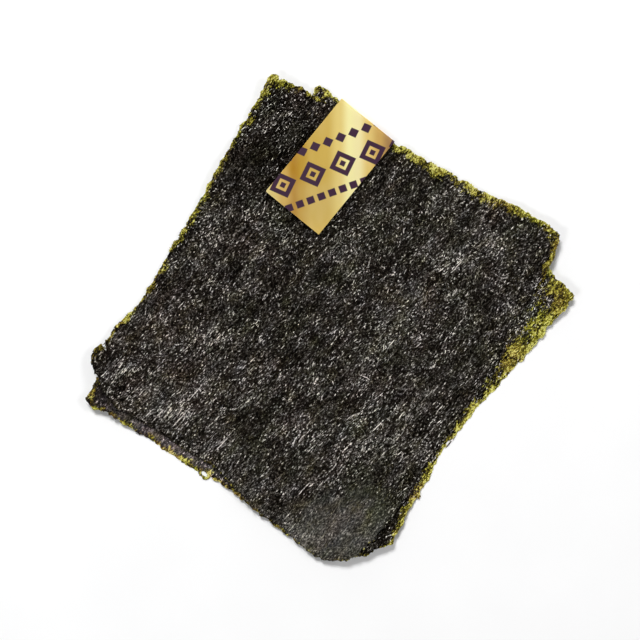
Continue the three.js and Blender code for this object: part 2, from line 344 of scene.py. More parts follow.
class Sheet:
    """One sheet's shape, height, relief and its slowly varying looks."""

    def __init__(self, spec, height, fringe, dx, dy, is_front):
        self.shape = Shape(outline(spec, 1700))
        self.height, self.fringe_anchors, self.is_front = height, fringe, is_front
        self.o = lambda field: offset(field, dx, dy)

    def inside(self, x, y):
        """Positive where there is seaweed: the torn edge, notches and pin holes."""
        d = self.shape(x, y)
        w, _ = fringe_at(self.fringe_anchors, x, y)
        f = d + 0.34 * self.o(N_EDGE_A)(x, y) + 0.36 * self.o(N_EDGE_B)(x, y) - 0.05
        if self.is_front:
            cx, cy = pl(101.8, 360.0)
            f = np.maximum(f, (1 - np.hypot((x - cx) / 5.9, (y - cy) / 9.0)) * 6.0 + 0.3 * self.o(N_EDGE_B)(x, y))
        else:
            # A small torn loop on the lower left edge.
            cx, cy = pl(204.0, 474.2)
            a, b = (x - cx) * 0.79 - (y - cy) * 0.62, (x - cx) * 0.62 + (y - cy) * 0.79
            f = np.maximum(f, (1 - np.hypot(a / 4.0, b / 2.9)) * 2.9 + 0.15 * self.o(N_EDGE_B)(x, y))
            f = np.minimum(f, (np.hypot(a / 2.5, b / 1.25) - 1) * 1.25)
        u, v = band_place(x, y)
        f = np.where(np.abs(v) < 24, np.minimum(f, u - BAND_EDGE_ROOM + 0.25), f)
        # Pin holes in the thin outer part of the fringe.
        thin = smooth(0.5, 1.1, d) * (1 - smooth(0.35 * w, 0.8 * w, d)) * smooth(2.4, 5.5, w)
        hole = 2.75 - 0.75 * thin - self.o(N_HOLE)(x, y)
        f = np.minimum(f, np.where(thin > 0.02, hole * 0.8, f))
        for tear in (FRONT_TEARS if self.is_front else REAR_TEARS):
            f = np.minimum(f, tear_field(tear, x, y))
        return f

    def relief(self, x, y):
        ridge = 0.55 * self.o(N_RIDGE)(x, y) + 0.45 * self.o(N_RIDGE_B)(x, y) + 0.40 * self.o(N_RIDGE_C)(x, y)
        lump = self.o(N_LUMP)(x, y)
        calm = self.calm(x, y)
        inner = 0.35 + 0.65 * smooth(0.0, 4.0, self.shape(x, y))
        return inner * ((0.105 * (1 - 0.55 * calm)) * np.clip(ridge, -2.2, 2.2) + 0.085 * np.clip(lump, -2, 2))

    def calm(self, x, y):
        """1 where the surface is smoother and paler: the bottom corner, and the lower left of the rear sheet. The
        paleness is partly painted light.
        """
        if not self.is_front:
            return np.clip(spots([(100, 392, 8, 0.7), (125, 410, 9, 0.8), (150, 428, 9, 0.8), (175, 445, 9, 0.8), (198, 460, 8, 0.7), (222, 478, 8, 0.5)], x, y), 0, 0.9)
        line = np.interp(x, [-39, -23, -10, 7, 23, 35], [-107, -102, -105, -102, -99.5, -105])
        s = smooth(7.5, -7.5, y - line - 1.6 * N_EDGE_A(x, y) - 2.4 * N_LUMP(x, y)) * smooth(-37, -8, x) * (1 - smooth(28, 44, x))
        return np.clip(s + spots([(240, 493, 6, 0.45), (256, 508, 6, 0.5), (276, 524, 6, 0.35), (298, 541, 6, 0.3)], x, y), 0, 1)

    def haze(self, x, y):
        """1 in scattered patches where the blades lie flat and even."""
        return smooth(0.6, 1.7, self.o(N_HAZE)(x, y))

    def thickness(self, x, y):
        d = self.shape(x, y)
        return 0.15 + 0.15 * smooth(0.0, 5.0, d)

    def top(self, x, y):
        z = self.height(x, y) + 0.2 + self.thickness(x, y) / 2 + self.relief(x, y)
        return np.maximum(z, self.bottom(x, y) + 0.09)

    def bottom(self, x, y):
        z = self.height(x, y) + 0.2 - self.thickness(x, y) / 2 + 0.55 * self.relief(x, y)
        return z if self.is_front else np.maximum(z - 0.05, 0.0)

    def looks(self, x, y):
        """Attributes of the surface, by name."""
        d = np.maximum(self.shape(x, y), -0.5)
        w, glow = fringe_at(self.fringe_anchors, x, y)
        n = self.o(N_FRINGE)(x, y)
        n2 = self.o(N_EDGE_B)(x, y)
        streak = self.o(N_MOTTLE)(x, y)
        fringe = np.clip(1.10 - d / np.maximum(w, 0.3) + 0.28 * n + 0.14 * n2 + 0.16 * streak, 0, 1)
        fringe = np.where(d > 2.6 * w, 0, fringe) * smooth(0.5, 1.4, w)
        rim = (0.4 * np.exp(-np.maximum(d, 0) / 0.7) + 0.6 * np.exp(-np.maximum(d, 0) / 2.0)) * (0.25 + 0.75 * smooth(0.6, 5.0, w))
        rim *= smooth(0.06, 0.42, glow)
        mottle = 0.85 * streak + 0.4 * n
        even = 1 - 0.45 * self.calm(x, y)
        tone = (0.07 * self.o(N_PATCH)(x, y) + 0.13 * self.o(N_BLOTCH)(x, y) + 0.22 * self.o(N_DENS)(x, y)) * even + 0.20 * self.haze(x, y) + 0.36 * self.o(N_LINE)(x, y) * (1 - 0.8 * self.calm(x, y))
        hue = 0.45 * self.o(N_HUE)(x, y) + 0.35 * self.o(N_DENS)(x + 40, y)
        if self.is_front:
            soft = spots([(551, 243, 8, 1.0)], x, y)
            rim *= 1 - 0.75 * soft
            mottle *= 1 - 0.7 * soft
            # Paler and darker patches, given one by one. Painted sheen: the pale arc across the right middle, the pale
            # strip along the lower left edge and the paler bottom. Painted shade: the dark spot by the notch at (546,
            # 272).
            tone += spots([
                (360, 368, 9, 0.30), (385, 338, 9, 0.35), (405, 305, 10, 0.40), (440, 275, 11, 0.22), (492, 246, 8, 0.50),
                (163, 410, 10, 0.95), (118, 372, 9, -0.65), (330, 530, 22, 0.30), (365, 526, 9, 0.22), (325, 482, 9, -0.16), (350, 484, 9, -0.18), (372, 490, 8, -0.16), (290, 524, 9, 0.12), (140, 325, 14, 0.12), (215, 335, 7, 0.25),
                (285, 145, 15, -0.42), (180, 205, 12, -0.30), (398, 255, 9, -0.45), (265, 420, 8, -0.40), (450, 338, 9, -0.25),
                (395, 175, 10, -0.22), (235, 240, 8, 0.25), (546, 272, 3.5, -0.8), (255, 210, 12, -0.15),
                (248, 160, 16, -0.27), (275, 110, 14, -0.28), (165, 405, 24, 0.22), (470, 270, 26, 0.12),
                (250, 505, 7, 0.35), (275, 525, 7, 0.40), (298, 543, 7, 0.40), (225, 485, 7, 0.25), (200, 462, 7, 0.20),
            ], x, y)
            hue += spots([
                (150, 340, 26, 0.75), (535, 300, 14, 0.9), (555, 240, 7, 0.6), (180, 372, 8, 0.6), (255, 515, 9, 0.8), (300, 541, 12, 1.0), (374, 505, 9, -0.6),
                (300, 99, 3.2, 2.6), (440, 158, 3.5, 2.2), (480, 192, 5, 1.2), (505, 205, 6, 1.0),
                (430, 350, 26, -0.35), (395, 500, 16, -0.35), (410, 235, 16, -0.6), (300, 215, 16, -0.35), (280, 88, 5, -0.8),
                (209, 350, 1.4, -3.0), (149, 377, 1.2, -3.0), (361, 515, 1.8, 1.6),
            ], x, y)
            # Painted shadow: the seaweed beside the band is darker in tone where the band's shadow falls.
            u, v = band_place(x, y)
            beside = np.hypot(np.maximum(u - BAND_LENGTH, 0), np.maximum(np.abs(v) - BAND_WIDTH / 2, 0))
            tone -= np.where(u > -1, np.where((v < 0) | (u > BAND_LENGTH), 0.95, 0.6) * np.exp(-beside / 2.2), 0)
        else:
            soft = spots([(572, 291, 6, 1.0)], x, y)
            rim *= 1 - 0.6 * soft
            mottle *= 1 - 0.6 * soft
            glow = glow - spots([(555, 302, 5, 0.14), (209, 478, 4, 0.08)], x, y)
            hue += spots([
                (576, 288, 5, -0.4), (540, 325, 8, -0.6), (532, 312, 4, -0.6), (513, 352, 6, 0.5), (554, 303, 4, 2.0), (497, 388, 5, -0.6), (522, 362, 4, 0.3), (541, 289, 5, 0.9),
                (110, 405, 6, 0.6), (150, 430, 16, 0.6), (200, 462, 12, 0.3), (209, 478, 4, -1.6), (480, 410, 20, 0.4),
            ], x, y)
            # Painted light: the paler strip along the lower left edge, which faces the light differently. Painted
            # shade: the dark spots at (104, 388) and (372, 535) beside the front sheet's edges.
            tone += spots([
                (112, 402, 6, 0.30), (130, 414, 7, 0.40), (150, 428, 7, 0.50), (170, 442, 7, 0.95), (190, 455, 7, 0.95), (212, 472, 7, 0.70),
                (235, 490, 7, 0.4), (104, 388, 5, -0.7), (372, 535, 7, -0.2), (505, 335, 10, 0.15), (520, 315, 9, 0.1),
            ], x, y)
            # Painted shade: the rear sheet's tone is darker beside the front sheet's lower edges, where that sheet's
            # shadow falls.
            gap = np.maximum(-front.shape(x, y), 0)
            low_left = smooth(-30, -60, x) * smooth(-15, -32, y)
            low_right = smooth(10, 24, x) * smooth(-98, -112, y)
            rim *= 1 + 0.48 * smooth(20, 60, x) - 0.30 * low_left
            glow = glow - 0.05 * low_left
            tone -= 0.9 * low_left * np.exp(-gap / 0.8) + 1.9 * low_right * np.exp(-gap / 6.0)
            chunk = self.o(N_CHUNK)(x, y)
            mottle = mottle + low_left * 1.7 * chunk
            hue += low_left * fringe * (0.3 - 1.1 * self.o(N_CHUNK)(x + 50, y))
            fringe = fringe * (1 - 0.55 * low_left * smooth(0.3, -0.9, chunk))
        return {"fringe": fringe, "rim": rim, "tone": tone, "hue": hue, "calm": self.calm(x, y), "mottle": mottle, "glow": glow}


# Narrow tears that open at the edge: from, to (pixels), half width at each end in mm.
FRONT_TEARS = [((102.6, 340.5), (107.2, 353.4), 1.35, 0.12)]
REAR_TEARS = [((372.0, 549.4), (382.5, 548.4), 0.25, 1.0)]


def tear_field(tear, x, y):
    (ax, ay), (bx, by), wa, wb = tear
    (ax, ay), (bx, by) = pl(ax, ay), pl(bx, by)
    dx, dy = bx - ax, by - ay
    length = math.hypot(dx, dy)
    t = np.clip(((x - ax) * dx + (y - ay) * dy) / length ** 2, 0, 1)
    return np.hypot(x - ax - dx * t, y - ay - dy * t) - (wa + (wb - wa) * t)


# ------------------------------------------------------------------ meshes
def make_object(name, verts, tris, attributes, material, flat_from=None, body="root", raw=False):
    """verts in mm in the drawing's plan, z from the floor."""
    co = np.array(verts, float)
    if not raw:
        co[:, 0] += SHIFT[0]
        co[:, 1] += SHIFT[1]
    mesh = bpy.data.meshes.new(name)
    mesh.vertices.add(len(co))
    mesh.vertices.foreach_set("co", (co * 0.001).astype(np.float32).ravel())
    mesh.loops.add(len(tris) * 3)
    mesh.loops.foreach_set("vertex_index", np.asarray(tris, np.int32).ravel())
    mesh.polygons.add(len(tris))
    mesh.polygons.foreach_set("loop_start", np.arange(0, 3 * len(tris), 3, dtype=np.int32))
    smoothed = np.ones(len(tris), bool)
    if flat_from is not None:
        smoothed[flat_from:] = False
    mesh.polygons.foreach_set("use_smooth", smoothed)
    mesh.update(calc_edges=True)
    for key, values in attributes.items():
        a = mesh.attributes.new(key, "FLOAT", "POINT")
        a.data.foreach_set("value", np.asarray(values, np.float32))
    mesh.validate()
    mesh.materials.append(material)
    obj = bpy.data.objects.new(name, mesh)
    scene.collection.objects.link(obj)
    return obj


def give_map(obj, corners):
    """A flat map of the piece, one (u, v) for each corner of its triangles."""
    layer = obj.data.uv_layers.new(name="OFBake")
    layer.data.foreach_set("uv", np.asarray(corners, np.float32).ravel())


def in_cells(count, low, high):
    """Low corner and size of equal cells, about as tall as wide, that fill a box."""
    w, h = high[0] - low[0], high[1] - low[1]
    cols = max(1, math.floor(math.sqrt(count * w / h)))
    rows = math.ceil(count / cols)
    i = np.arange(count)
    return np.stack([low[0] + (i % cols) * w / cols, low[1] + (i // cols) * h / rows], 1), np.array([w / cols, h / rows])


def rotated_first(tris, first):
    rows = np.arange(len(tris))
    return np.stack([tris[rows, (first + k) % 3] for k in range(3)], 1)


def components(count, edges):
    label = np.arange(count)
    while True:
        a, b = label[edges[:, 0]], label[edges[:, 1]]
        m = np.minimum(a, b)
        new = label.copy()
        np.minimum.at(new, a, m)
        np.minimum.at(new, b, m)
        for _ in range(3):
            new = new[new]
        if (new == label).all():
            return label
        label = new


def clipped_grid(sheet, step_along, step_across):
    """Triangles of the part of a grid, turned to the grain, that lies in the sheet."""
    c, s = math.cos(GRAIN), math.sin(GRAIN)
    p = np.arange(-151, 151, step_along)
    q = np.arange(-151, 151, step_across)
    P, Q = np.meshgrid(p, q, indexing="ij")
    X, Y = P * c - Q * s, P * s + Q * c
    f = sheet.inside(X, Y).ravel()
    xy = np.stack([X.ravel(), Y.ravel()], 1)
    ni, nj = P.shape
    idx = np.arange(ni * nj).reshape(ni, nj)
    a, b, cc, d = idx[:-1, :-1], idx[1:, :-1], idx[1:, 1:], idx[:-1, 1:]
    odd = ((np.arange(ni - 1)[:, None] + np.arange(nj - 1)[None, :]) % 2).astype(bool)[..., None]
    t1 = np.where(odd, np.stack([a, b, cc], -1), np.stack([a, b, d], -1)).reshape(-1, 3)
    t2 = np.where(odd, np.stack([a, cc, d], -1), np.stack([b, cc, d], -1)).reshape(-1, 3)
    tris = np.concatenate([t1, t2])
    ins = f[tris] > 0
    k = ins.sum(1)
    full = tris[k == 3]
    one = rotated_first(tris[k == 1], ins[k == 1].argmax(1))
    two = rotated_first(tris[k == 2], (~ins[k == 2]).argmax(1))
    size = ni * nj
    cuts = np.concatenate([one[:, [0, 1]], one[:, [0, 2]], two[:, [0, 1]], two[:, [0, 2]]])
    key = np.minimum(cuts[:, 0], cuts[:, 1]) * size + np.maximum(cuts[:, 0], cuts[:, 1])
    unique, inverse = np.unique(key, return_inverse=True)
    lo, hi = unique // size, unique % size
    t = np.clip(f[lo] / (f[lo] - f[hi]), 0.08, 0.92)
    cut_xy = xy[lo] * (1 - t[:, None]) + xy[hi] * t[:, None]
    number = size + inverse
    n1, n2 = len(one), len(two)
    o01, o02 = number[:n1], number[n1:2 * n1]
    w01, w02 = number[2 * n1:2 * n1 + n2], number[2 * n1 + n2:]
    faces = np.concatenate([
        full,
        np.stack([one[:, 0], o01, o02], 1),
        np.stack([w01, two[:, 1], two[:, 2]], 1),
        np.stack([w01, two[:, 2], w02], 1),
    ])
    rim = np.concatenate([np.stack([o01, o02], 1), np.stack([w02, w01], 1)])
    every = np.concatenate([xy, cut_xy])
    # Only the one connected sheet is kept.
    label = components(len(every), np.concatenate([faces[:, [0, 1]], faces[:, [1, 2]]]))
    main = np.bincount(label[faces[:, 0]]).argmax()
    faces = faces[label[faces[:, 0]] == main]
    rim = rim[label[rim[:, 0]] == main]
    used, back = np.unique(faces, return_inverse=True)
    faces = back.reshape(-1, 3)
    remap = np.full(len(every), -1)
    remap[used] = np.arange(len(used))
    return every[used], faces, remap[rim]


def sheet_object(name, sheet, material, step_along, step_across):
    xy, faces, rim = clipped_grid(sheet, step_along, step_across)
    x, y = xy[:, 0], xy[:, 1]
    n = len(xy)
    verts = np.concatenate([np.column_stack([x, y, sheet.top(x, y)]), np.column_stack([x, y, sheet.bottom(x, y)])])
    under = faces[:, ::-1] + n
    walls = np.concatenate([
        np.stack([rim[:, 0] + n, rim[:, 1] + n, rim[:, 1]], 1),
        np.stack([rim[:, 0] + n, rim[:, 1], rim[:, 0]], 1),
    ])
    tris = np.concatenate([faces, under, walls])
    looks = {key: np.concatenate([v, v]) for key, v in sheet.looks(x, y).items()}
    obj = make_object(name, verts, tris, looks, material, flat_from=len(faces) + len(under))
    # Map: the upper side large, the underside above it, the cut edges in a strip.
    turns = [math.radians(k) for k in range(180)]
    boxes = [(np.ptp(x * math.cos(a) + y * math.sin(a)), np.ptp(y * math.cos(a) - x * math.sin(a))) for a in turns]
    turn = min((w * h, a) for (w, h), a in zip(boxes, turns) if w >= h)[1]
    flat = np.stack([x * math.cos(turn) + y * math.sin(turn), y * math.cos(turn) - x * math.sin(turn)], 1)
    flat -= flat.min(0)
    w, h = flat.max(0)
    upper = 0.003 + flat * 0.795 / w
    lower = np.array([0.003, 0.010 + 0.795 * h / w]) + flat * min(0.795 / w, (0.984 - 0.795 * h / w) / h)
    cell, size = in_cells(len(rim), (0.806, 0.003), (0.997, 0.997))
    inset = 1 / 1024
    corner = [cell + inset, cell + [size[0] - inset, inset], cell + size - inset, cell + [inset, size[1] - inset]]
    give_map(obj, np.concatenate([
        upper[faces], lower[faces[:, ::-1]],
        np.stack([corner[0], corner[1], corner[2]], 1), np.stack([corner[0], corner[2], corner[3]], 1),
    ]))
    print(name, len(tris), "triangles")
    return obj, (xy, rim)


def sliver_mesh(cx, cy, heading, length, width, height, bends, skew, tilt, surface, sink=0.05):
    """Thin three-sided shreds with pointed ends, lying on a surface. One ring of
    corners for each column of bends, which are its shifts to the side."""
    n, rings = bends.shape
    tx, ty = np.cos(heading), np.sin(heading)
    verts = np.zeros((n, 2 + rings * 3, 3))
    for k, s in ((0, -1.0), (1, 1.0)):
        ax, ay = cx + tx * s * length / 2, cy + ty * s * length / 2
        verts[:, k] = np.column_stack([ax, ay, surface(ax, ay) - 0.02 + np.maximum(tilt * s, -0.04)])
    for r in range(rings):
        s = (r + 1) / (rings + 1) * 2 - 1
        s *= 0.82 if rings > 1 else 1
        w = width * (1 - 0.45 * s * s) / 2
        ax = cx + tx * s * length / 2 - ty * bends[:, r]
        ay = cy + ty * s * length / 2 + tx * bends[:, r]
        z = surface(ax, ay) + np.maximum(tilt * s, -0.03)
        for k, side in enumerate((1.0, skew, -1.0)):
            up = height * (1 - 0.4 * s * s) if k == 1 else -sink
            verts[:, 2 + 3 * r + k] = np.column_stack([ax - ty * w * side, ay + tx * w * side, z + up])
    one = []
    for k in range(3):
        j = (k + 1) % 3
        one.append((0, 2 + k, 2 + j))
        last = 2 + 3 * (rings - 1)
        one.append((1, last + j, last + k))
        for r in range(rings - 1):
            a, b = 2 + 3 * r + k, 2 + 3 * r + j
            one += [(a, a + 3, b + 3), (a, b + 3, b)]
    one = np.array(one)
    v = verts[0]
    if np.einsum("ij,ij->i", v[one[:, 0]], np.cross(v[one[:, 1]], v[one[:, 2]])).sum() < 0:
        one = one[:, ::-1]
    per = verts.shape[1]
    tris = (one[None] + (np.arange(n) * per)[:, None, None]).reshape(-1, 3)
    return verts.reshape(-1, 3), tris, per


def scatter(rng, sheet, count, accept):
    """Places on a sheet, drawn with the given likelihood."""
    xs, ys = [], []
    have = 0
    while have < count:
        x = rng.uniform(-146, 146, 6000)
        y = rng.uniform(-146, 146, 6000)
        keep = rng.uniform(0, 1, 6000) < accept(x, y)
        xs.append(x[keep])
        ys.append(y[keep])
        have += keep.sum()
    return np.concatenate(xs)[:count], np.concatenate(ys)[:count]


# ------------------------------------------------------------------ nodes
class Tree:
    """Short names for shader nodes."""

    def __init__(self, name):
        self.material = bpy.data.materials.new(name)
        self.material.use_nodes = True
        self.tree = self.material.node_tree
        self.tree.nodes.clear()
        self.out = self.tree.nodes.new("ShaderNodeOutputMaterial")

    def node(self, kind, **settings):
        n = self.tree.nodes.new(kind)
        for k, v in settings.items():
            setattr(n, k, v)
        return n

    def put(self, socket, value):
        if isinstance(value, bpy.types.NodeSocket):
            self.tree.links.new(value, socket)
        elif value is not None:
            socket.default_value = value

    def math(self, op, a, b=None, c=None, clamp=False):
        n = self.node("ShaderNodeMath", operation=op, use_clamp=clamp)
        for socket, value in zip(n.inputs, (a, b, c)):
            self.put(socket, value)
        return n.outputs[0]

    def span(self, value, a, b, c=0.0, d=1.0, kind="LINEAR"):
        n = self.node("ShaderNodeMapRange", interpolation_type=kind)
        for socket, v in zip(n.inputs, (value, a, b, c, d)):
            self.put(socket, v)
        return n.outputs[0]

    def attribute(self, name):
        return self.node("ShaderNodeAttribute", attribute_name=name).outputs["Fac"]

    def place(self, turn=0.0, scale=(1, 1, 1), shift=(0, 0, 0)):
        """Object place in mm, turned by -turn about Z and then scaled."""
        c = self.node("ShaderNodeTexCoord").outputs["Object"]
        m = self.node("ShaderNodeMapping", vector_type="POINT")
        self.put(m.inputs["Vector"], c)
        m.inputs["Rotation"].default_value = (0, 0, -turn)
        m.inputs["Scale"].default_value = (1000, 1000, 1000)
        k = self.node("ShaderNodeMapping", vector_type="POINT")
        self.put(k.inputs["Vector"], m.outputs[0])
        k.inputs["Location"].default_value = shift
        k.inputs["Scale"].default_value = scale
        return k.outputs[0]

    def noise(self, vector, detail=2.0, roughness=0.5, distortion=0.0, scale=1.0):
        n = self.node("ShaderNodeTexNoise", noise_dimensions="3D")
        self.put(n.inputs["Vector"], vector)
        n.inputs["Scale"].default_value = scale
        n.inputs["Detail"].default_value = detail
        n.inputs["Roughness"].default_value = roughness
        n.inputs["Distortion"].default_value = distortion
        return n.outputs["Fac"]

    def ramp(self, value, stops, interpolation="LINEAR"):
        n = self.node("ShaderNodeValToRGB")
        n.color_ramp.interpolation = interpolation
        els = n.color_ramp.elements
        while len(els) < len(stops):
            els.new(0.5)
        for e, (at, colour) in zip(els, stops):
            e.position = at
            e.color = (*colour, 1.0) if len(colour) == 3 else colour
        self.put(n.inputs[0], value)
        return n.outputs[0]

    def mix(self, factor, a, b, blend="MIX"):
        n = self.node("ShaderNodeMix", data_type="RGBA", blend_type=blend)
        self.put(n.inputs[0], factor)
        self.put(n.inputs[6], a if isinstance(a, bpy.types.NodeSocket) else (*a, 1.0))
        self.put(n.inputs[7], b if isinstance(b, bpy.types.NodeSocket) else (*b, 1.0))
        return n.outputs[2]


def lin(r, g, b):
    """An sRGB colour of 0 to 255 in linear light."""
    return tuple((c / 255 / 12.92) if c <= 10.3 else ((c / 255 + 0.055) / 1.055) ** 2.4 for c in (r, g, b))


def nori_material(name, seed, shreds=False, calm_tint=(1.05, 1.00, 0.86)):
    """Roasted seaweed. The shreds that lie on a sheet each have one tone."""
    t = Tree(name)
    fringe, rim, tone, hue, calm, mottle, glow = (t.attribute(k) for k in ("fringe", "rim", "tone", "hue", "calm", "mottle", "glow"))
    z = seed * 31.0
    if shreds:
        fine = t.noise(t.place(GRAIN, (1 / 1.35, 1 / 0.66, 1.0), (z, 5, 3)), 0.0, 0.5)
        centred = t.math("SUBTRACT", fine, 0.5)
        power = t.math("ADD", t.math("MULTIPLY", t.math("MULTIPLY", centred, 8.5), t.span(calm, 0.0, 1.0, 1.0, 0.6)), tone)
        # The calm parts are paler, partly painted light.
        power = t.math("ADD", power, t.math("MULTIPLY", calm, 0.8))
        level = t.math("MINIMUM", t.math("MULTIPLY", t.math("EXPONENT", power), SHRED_LEVEL), 0.80)
        speck = t.math("ADD", t.math("MULTIPLY", centred, 1.7), t.math("MULTIPLY", tone, 0.115))
    else:
        # Overlapping blades of seaweed: thin crests along the grain and across it,
        # broken into short lengths, over a finer crumple.
        wide = t.noise(t.place(GRAIN, (1 / 6.0, 1 / 2.0, 0.3), (z, 0, 0)), 1.0, 0.5, 0.7)
        skew = t.noise(t.place(GRAIN + 0.85, (1 / 4.0, 1 / 1.8, 0.3), (z, 9, 0)), 1.0, 0.5, 0.8)
        fine = t.noise(t.place(GRAIN, (1 / 1.5, 1 / 0.85, 0.5), (z, 5, 3)), 1.0, 0.6, 0.4)
        gate = t.noise(t.place(GRAIN, (1 / 3.2, 1 / 2.4, 0.4), (z, 21, 7)), 1.0, 0.5)
        crest_a = t.math("SUBTRACT", 1.0, t.math("MULTIPLY", t.math("ABSOLUTE", t.math("SUBTRACT", wide, 0.5)), 1 / 0.075), clamp=True)
        crest_b = t.math("SUBTRACT", 1.0, t.math("MULTIPLY", t.math("ABSOLUTE", t.math("SUBTRACT", skew, 0.5)), 1 / 0.075), clamp=True)
        crest_a = t.math("MULTIPLY", crest_a, t.span(gate, 0.42, 0.60))
        crest_b = t.math("MULTIPLY", crest_b, t.span(gate, 0.56, 0.40))
        crest = t.math("MAXIMUM", crest_a, crest_b)
        centred = t.math("SUBTRACT", fine, 0.5)
        relief = t.math("ADD", t.math("MULTIPLY", crest, 0.5), fine)
        still = t.span(calm, 0.0, 1.0, 1.0, 0.47)
        # Reflectance runs from near black in the gaps to grey on the crests: painted shade in the gaps and painted
        # highlights on the crests, over the seaweed's own uneven tone.
        power = t.math("ADD", t.math("MULTIPLY", centred, CONTRAST), t.math("MULTIPLY", crest, CREST))
        power = t.math("ADD", t.math("MULTIPLY", power, still), tone)
        # The calm parts are paler, partly painted light.
        power = t.math("ADD", power, t.math("MULTIPLY", calm, 1.85))
        level = t.math("MINIMUM", t.math("MULTIPLY", t.math("EXPONENT", power), LEVEL), 0.34)
        centred = t.math("ADD", t.math("MULTIPLY", centred, 0.6), t.math("MULTIPLY", t.math("SUBTRACT", crest, 0.25), 0.09))
        speck = t.math("MULTIPLY", centred, 4.0)
    # Tint by level: warm in the dark and more neutral towards the pale, like the painted highlights.
    tint = t.ramp(t.span(level, 0.0, 0.20), [
        (0.0, (1.34, 1.00, 0.62)),
        (0.05, (1.21, 1.00, 0.78)),
        (0.12, (1.15, 1.00, 0.82)),
        (0.25, (1.12, 1.00, 0.86)),
        (1.0, (1.06, 1.00, 0.92)),
    ])
    # Blades run from brown to green, and in wider patches from yellowish to bluish.
    cool = t.noise(t.place(GRAIN, (1 / 13.0, 1 / 9.0, 0.0), (z, 33, 0)), 1.0, 0.6)
    fade = t.span(level, 0.03, 0.30, 1.0, 0.35)
    tint = t.mix(t.math("MULTIPLY", calm, 0.85), tint, calm_tint)
    for value, a, b, colour in (
        (hue, 0.1, 2.0, (1.13, 0.975, 0.96)),
        (hue, -0.1, -1.8, (0.92, 1.02, 0.80)),
        (cool, 0.52, 0.80, (0.95, 1.00, 1.20)),
        (cool, 0.48, 0.20, (1.04, 1.00, 0.62)),
    ):
        tint = t.mix(t.math("MULTIPLY", t.span(value, a, b), fade), tint, colour, "MULTIPLY")
    dark = t.node("ShaderNodeVectorMath", operation="SCALE")
    t.put(dark.inputs[0], tint)
    t.put(dark.inputs["Scale"], level)
    dark = dark.outputs[0]
    # Fringe: a single layer of seaweed that light passes through. Its pale yellow-green is partly the thin seaweed's
    # own colour and partly painted light shining through it.
    g = t.math("MULTIPLY", glow, t.span(fringe, 0.0, 1.0, 0.30, 1.0))
    grit = t.noise(t.place(0.3, (1 / 1.25, 1 / 1.25, 1 / 1.25), (z, 3, 8)), 1.0, 0.5)
    g = t.math("ADD", g, t.math("ADD", t.math("MULTIPLY", rim, 0.50), t.math("MULTIPLY", mottle, 0.16)))
    g = t.math("ADD", g, t.math("ADD", speck, t.math("MULTIPLY", t.math("SUBTRACT", grit, 0.5), 1.25)))
    green = t.ramp(g, [
        (0.0, lin(50, 45, 20)),
        (0.25, lin(74, 66, 28)),
        (0.48, lin(109, 98, 34)),
        (0.70, lin(150, 140, 48)),
        (0.86, lin(182, 175, 70)),
        (1.0, lin(216, 212, 122)),
    ])
    vivid = t.ramp(g, [
        (0.0, lin(48, 48, 14)),
        (0.35, lin(86, 84, 18)),
        (0.7, lin(146, 144, 38)),
        (1.0, lin(210, 208, 112)),
    ])
    brown = t.ramp(g, [
        (0.0, lin(54, 42, 22)),
        (0.35, lin(98, 74, 30)),
        (0.7, lin(146, 118, 52)),
        (1.0, lin(204, 186, 120)),
    ])
    edge = t.mix(t.span(hue, 0.3, 2.0, 0.0, 0.85), green, brown)
    edge = t.mix(t.span(hue, -0.1, -1.4, 0.0, 0.9), edge, vivid)
    share = t.span(t.math("ADD", fringe, t.math("MULTIPLY", centred, 3.4)), 0.06, 0.86, kind="SMOOTHSTEP")
    share = t.math("MULTIPLY", share, t.span(fringe, 0.0, 0.14))
    colour = t.mix(share, dark, edge)
    bsdf = t.node("ShaderNodeBsdfPrincipled")
    t.put(bsdf.inputs["Base Color"], colour)
    bsdf.inputs["Specular Tint"].default_value = (1.0, 0.84, 0.60, 1.0)
    if shreds:
        bsdf.inputs["Roughness"].default_value = 0.36
        bsdf.inputs["Specular IOR Level"].default_value = SHRED_SPECULAR
    else:
        rough = t.span(fine, 0.3, 0.7, 0.46, 0.30)
        t.put(bsdf.inputs["Roughness"], t.math("ADD", rough, t.math("MULTIPLY", calm, 0.12)))
        bsdf.inputs["Specular IOR Level"].default_value = 0.010
        bump = t.node("ShaderNodeBump")
        bump.inputs["Strength"].default_value = 1.0
        bump.inputs["Distance"].default_value = 0.0008
        t.put(bump.inputs["Height"], t.math("MULTIPLY", relief, still))
        t.put(bsdf.inputs["Normal"], bump.outputs[0])
    t.tree.links.new(bsdf.outputs[0], t.out.inputs[0])
    return t.material


CONTRAST = 15.5
CREST = 1.6
LEVEL = 0.0044
SHRED_LEVEL = 0.0168
SHRED_SPECULAR = 0.015
nori_front = nori_material("nori_front_surface", 1)
nori_rear = nori_material("nori_rear_surface", 2, calm_tint=(1.14, 1.00, 0.97))
front_shred = nori_material("nori_front_shreds", 3, True)
rear_shred = nori_material("nori_rear_shreds", 4, True, (1.24, 1.00, 1.02))

# ------------------------------------------------------------------ sheets
front = Sheet(FRONT, front_height, FRONT_FRINGE, 0.0, 0.0, True)
rear = Sheet(REAR, rear_height, REAR_FRINGE, 97.0, 61.0, False)
front_obj, front_edge = sheet_object("nori_sheet_front", front, nori_front, 1.30, 0.76)
rear_obj, rear_edge = sheet_object("nori_sheet_rear", rear, nori_rear, 1.45, 0.85)

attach(front_obj, "root")
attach(rear_obj, "root")
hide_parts("sheet_front")
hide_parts("sheet_rear")


# ------------------------------------------------------------------ shreds
def under_band(x, y, room=1.5):
    u, v = band_place(x, y)
    return (u < BAND_LENGTH + room) & (np.abs(v) < BAND_WIDTH / 2 + room)


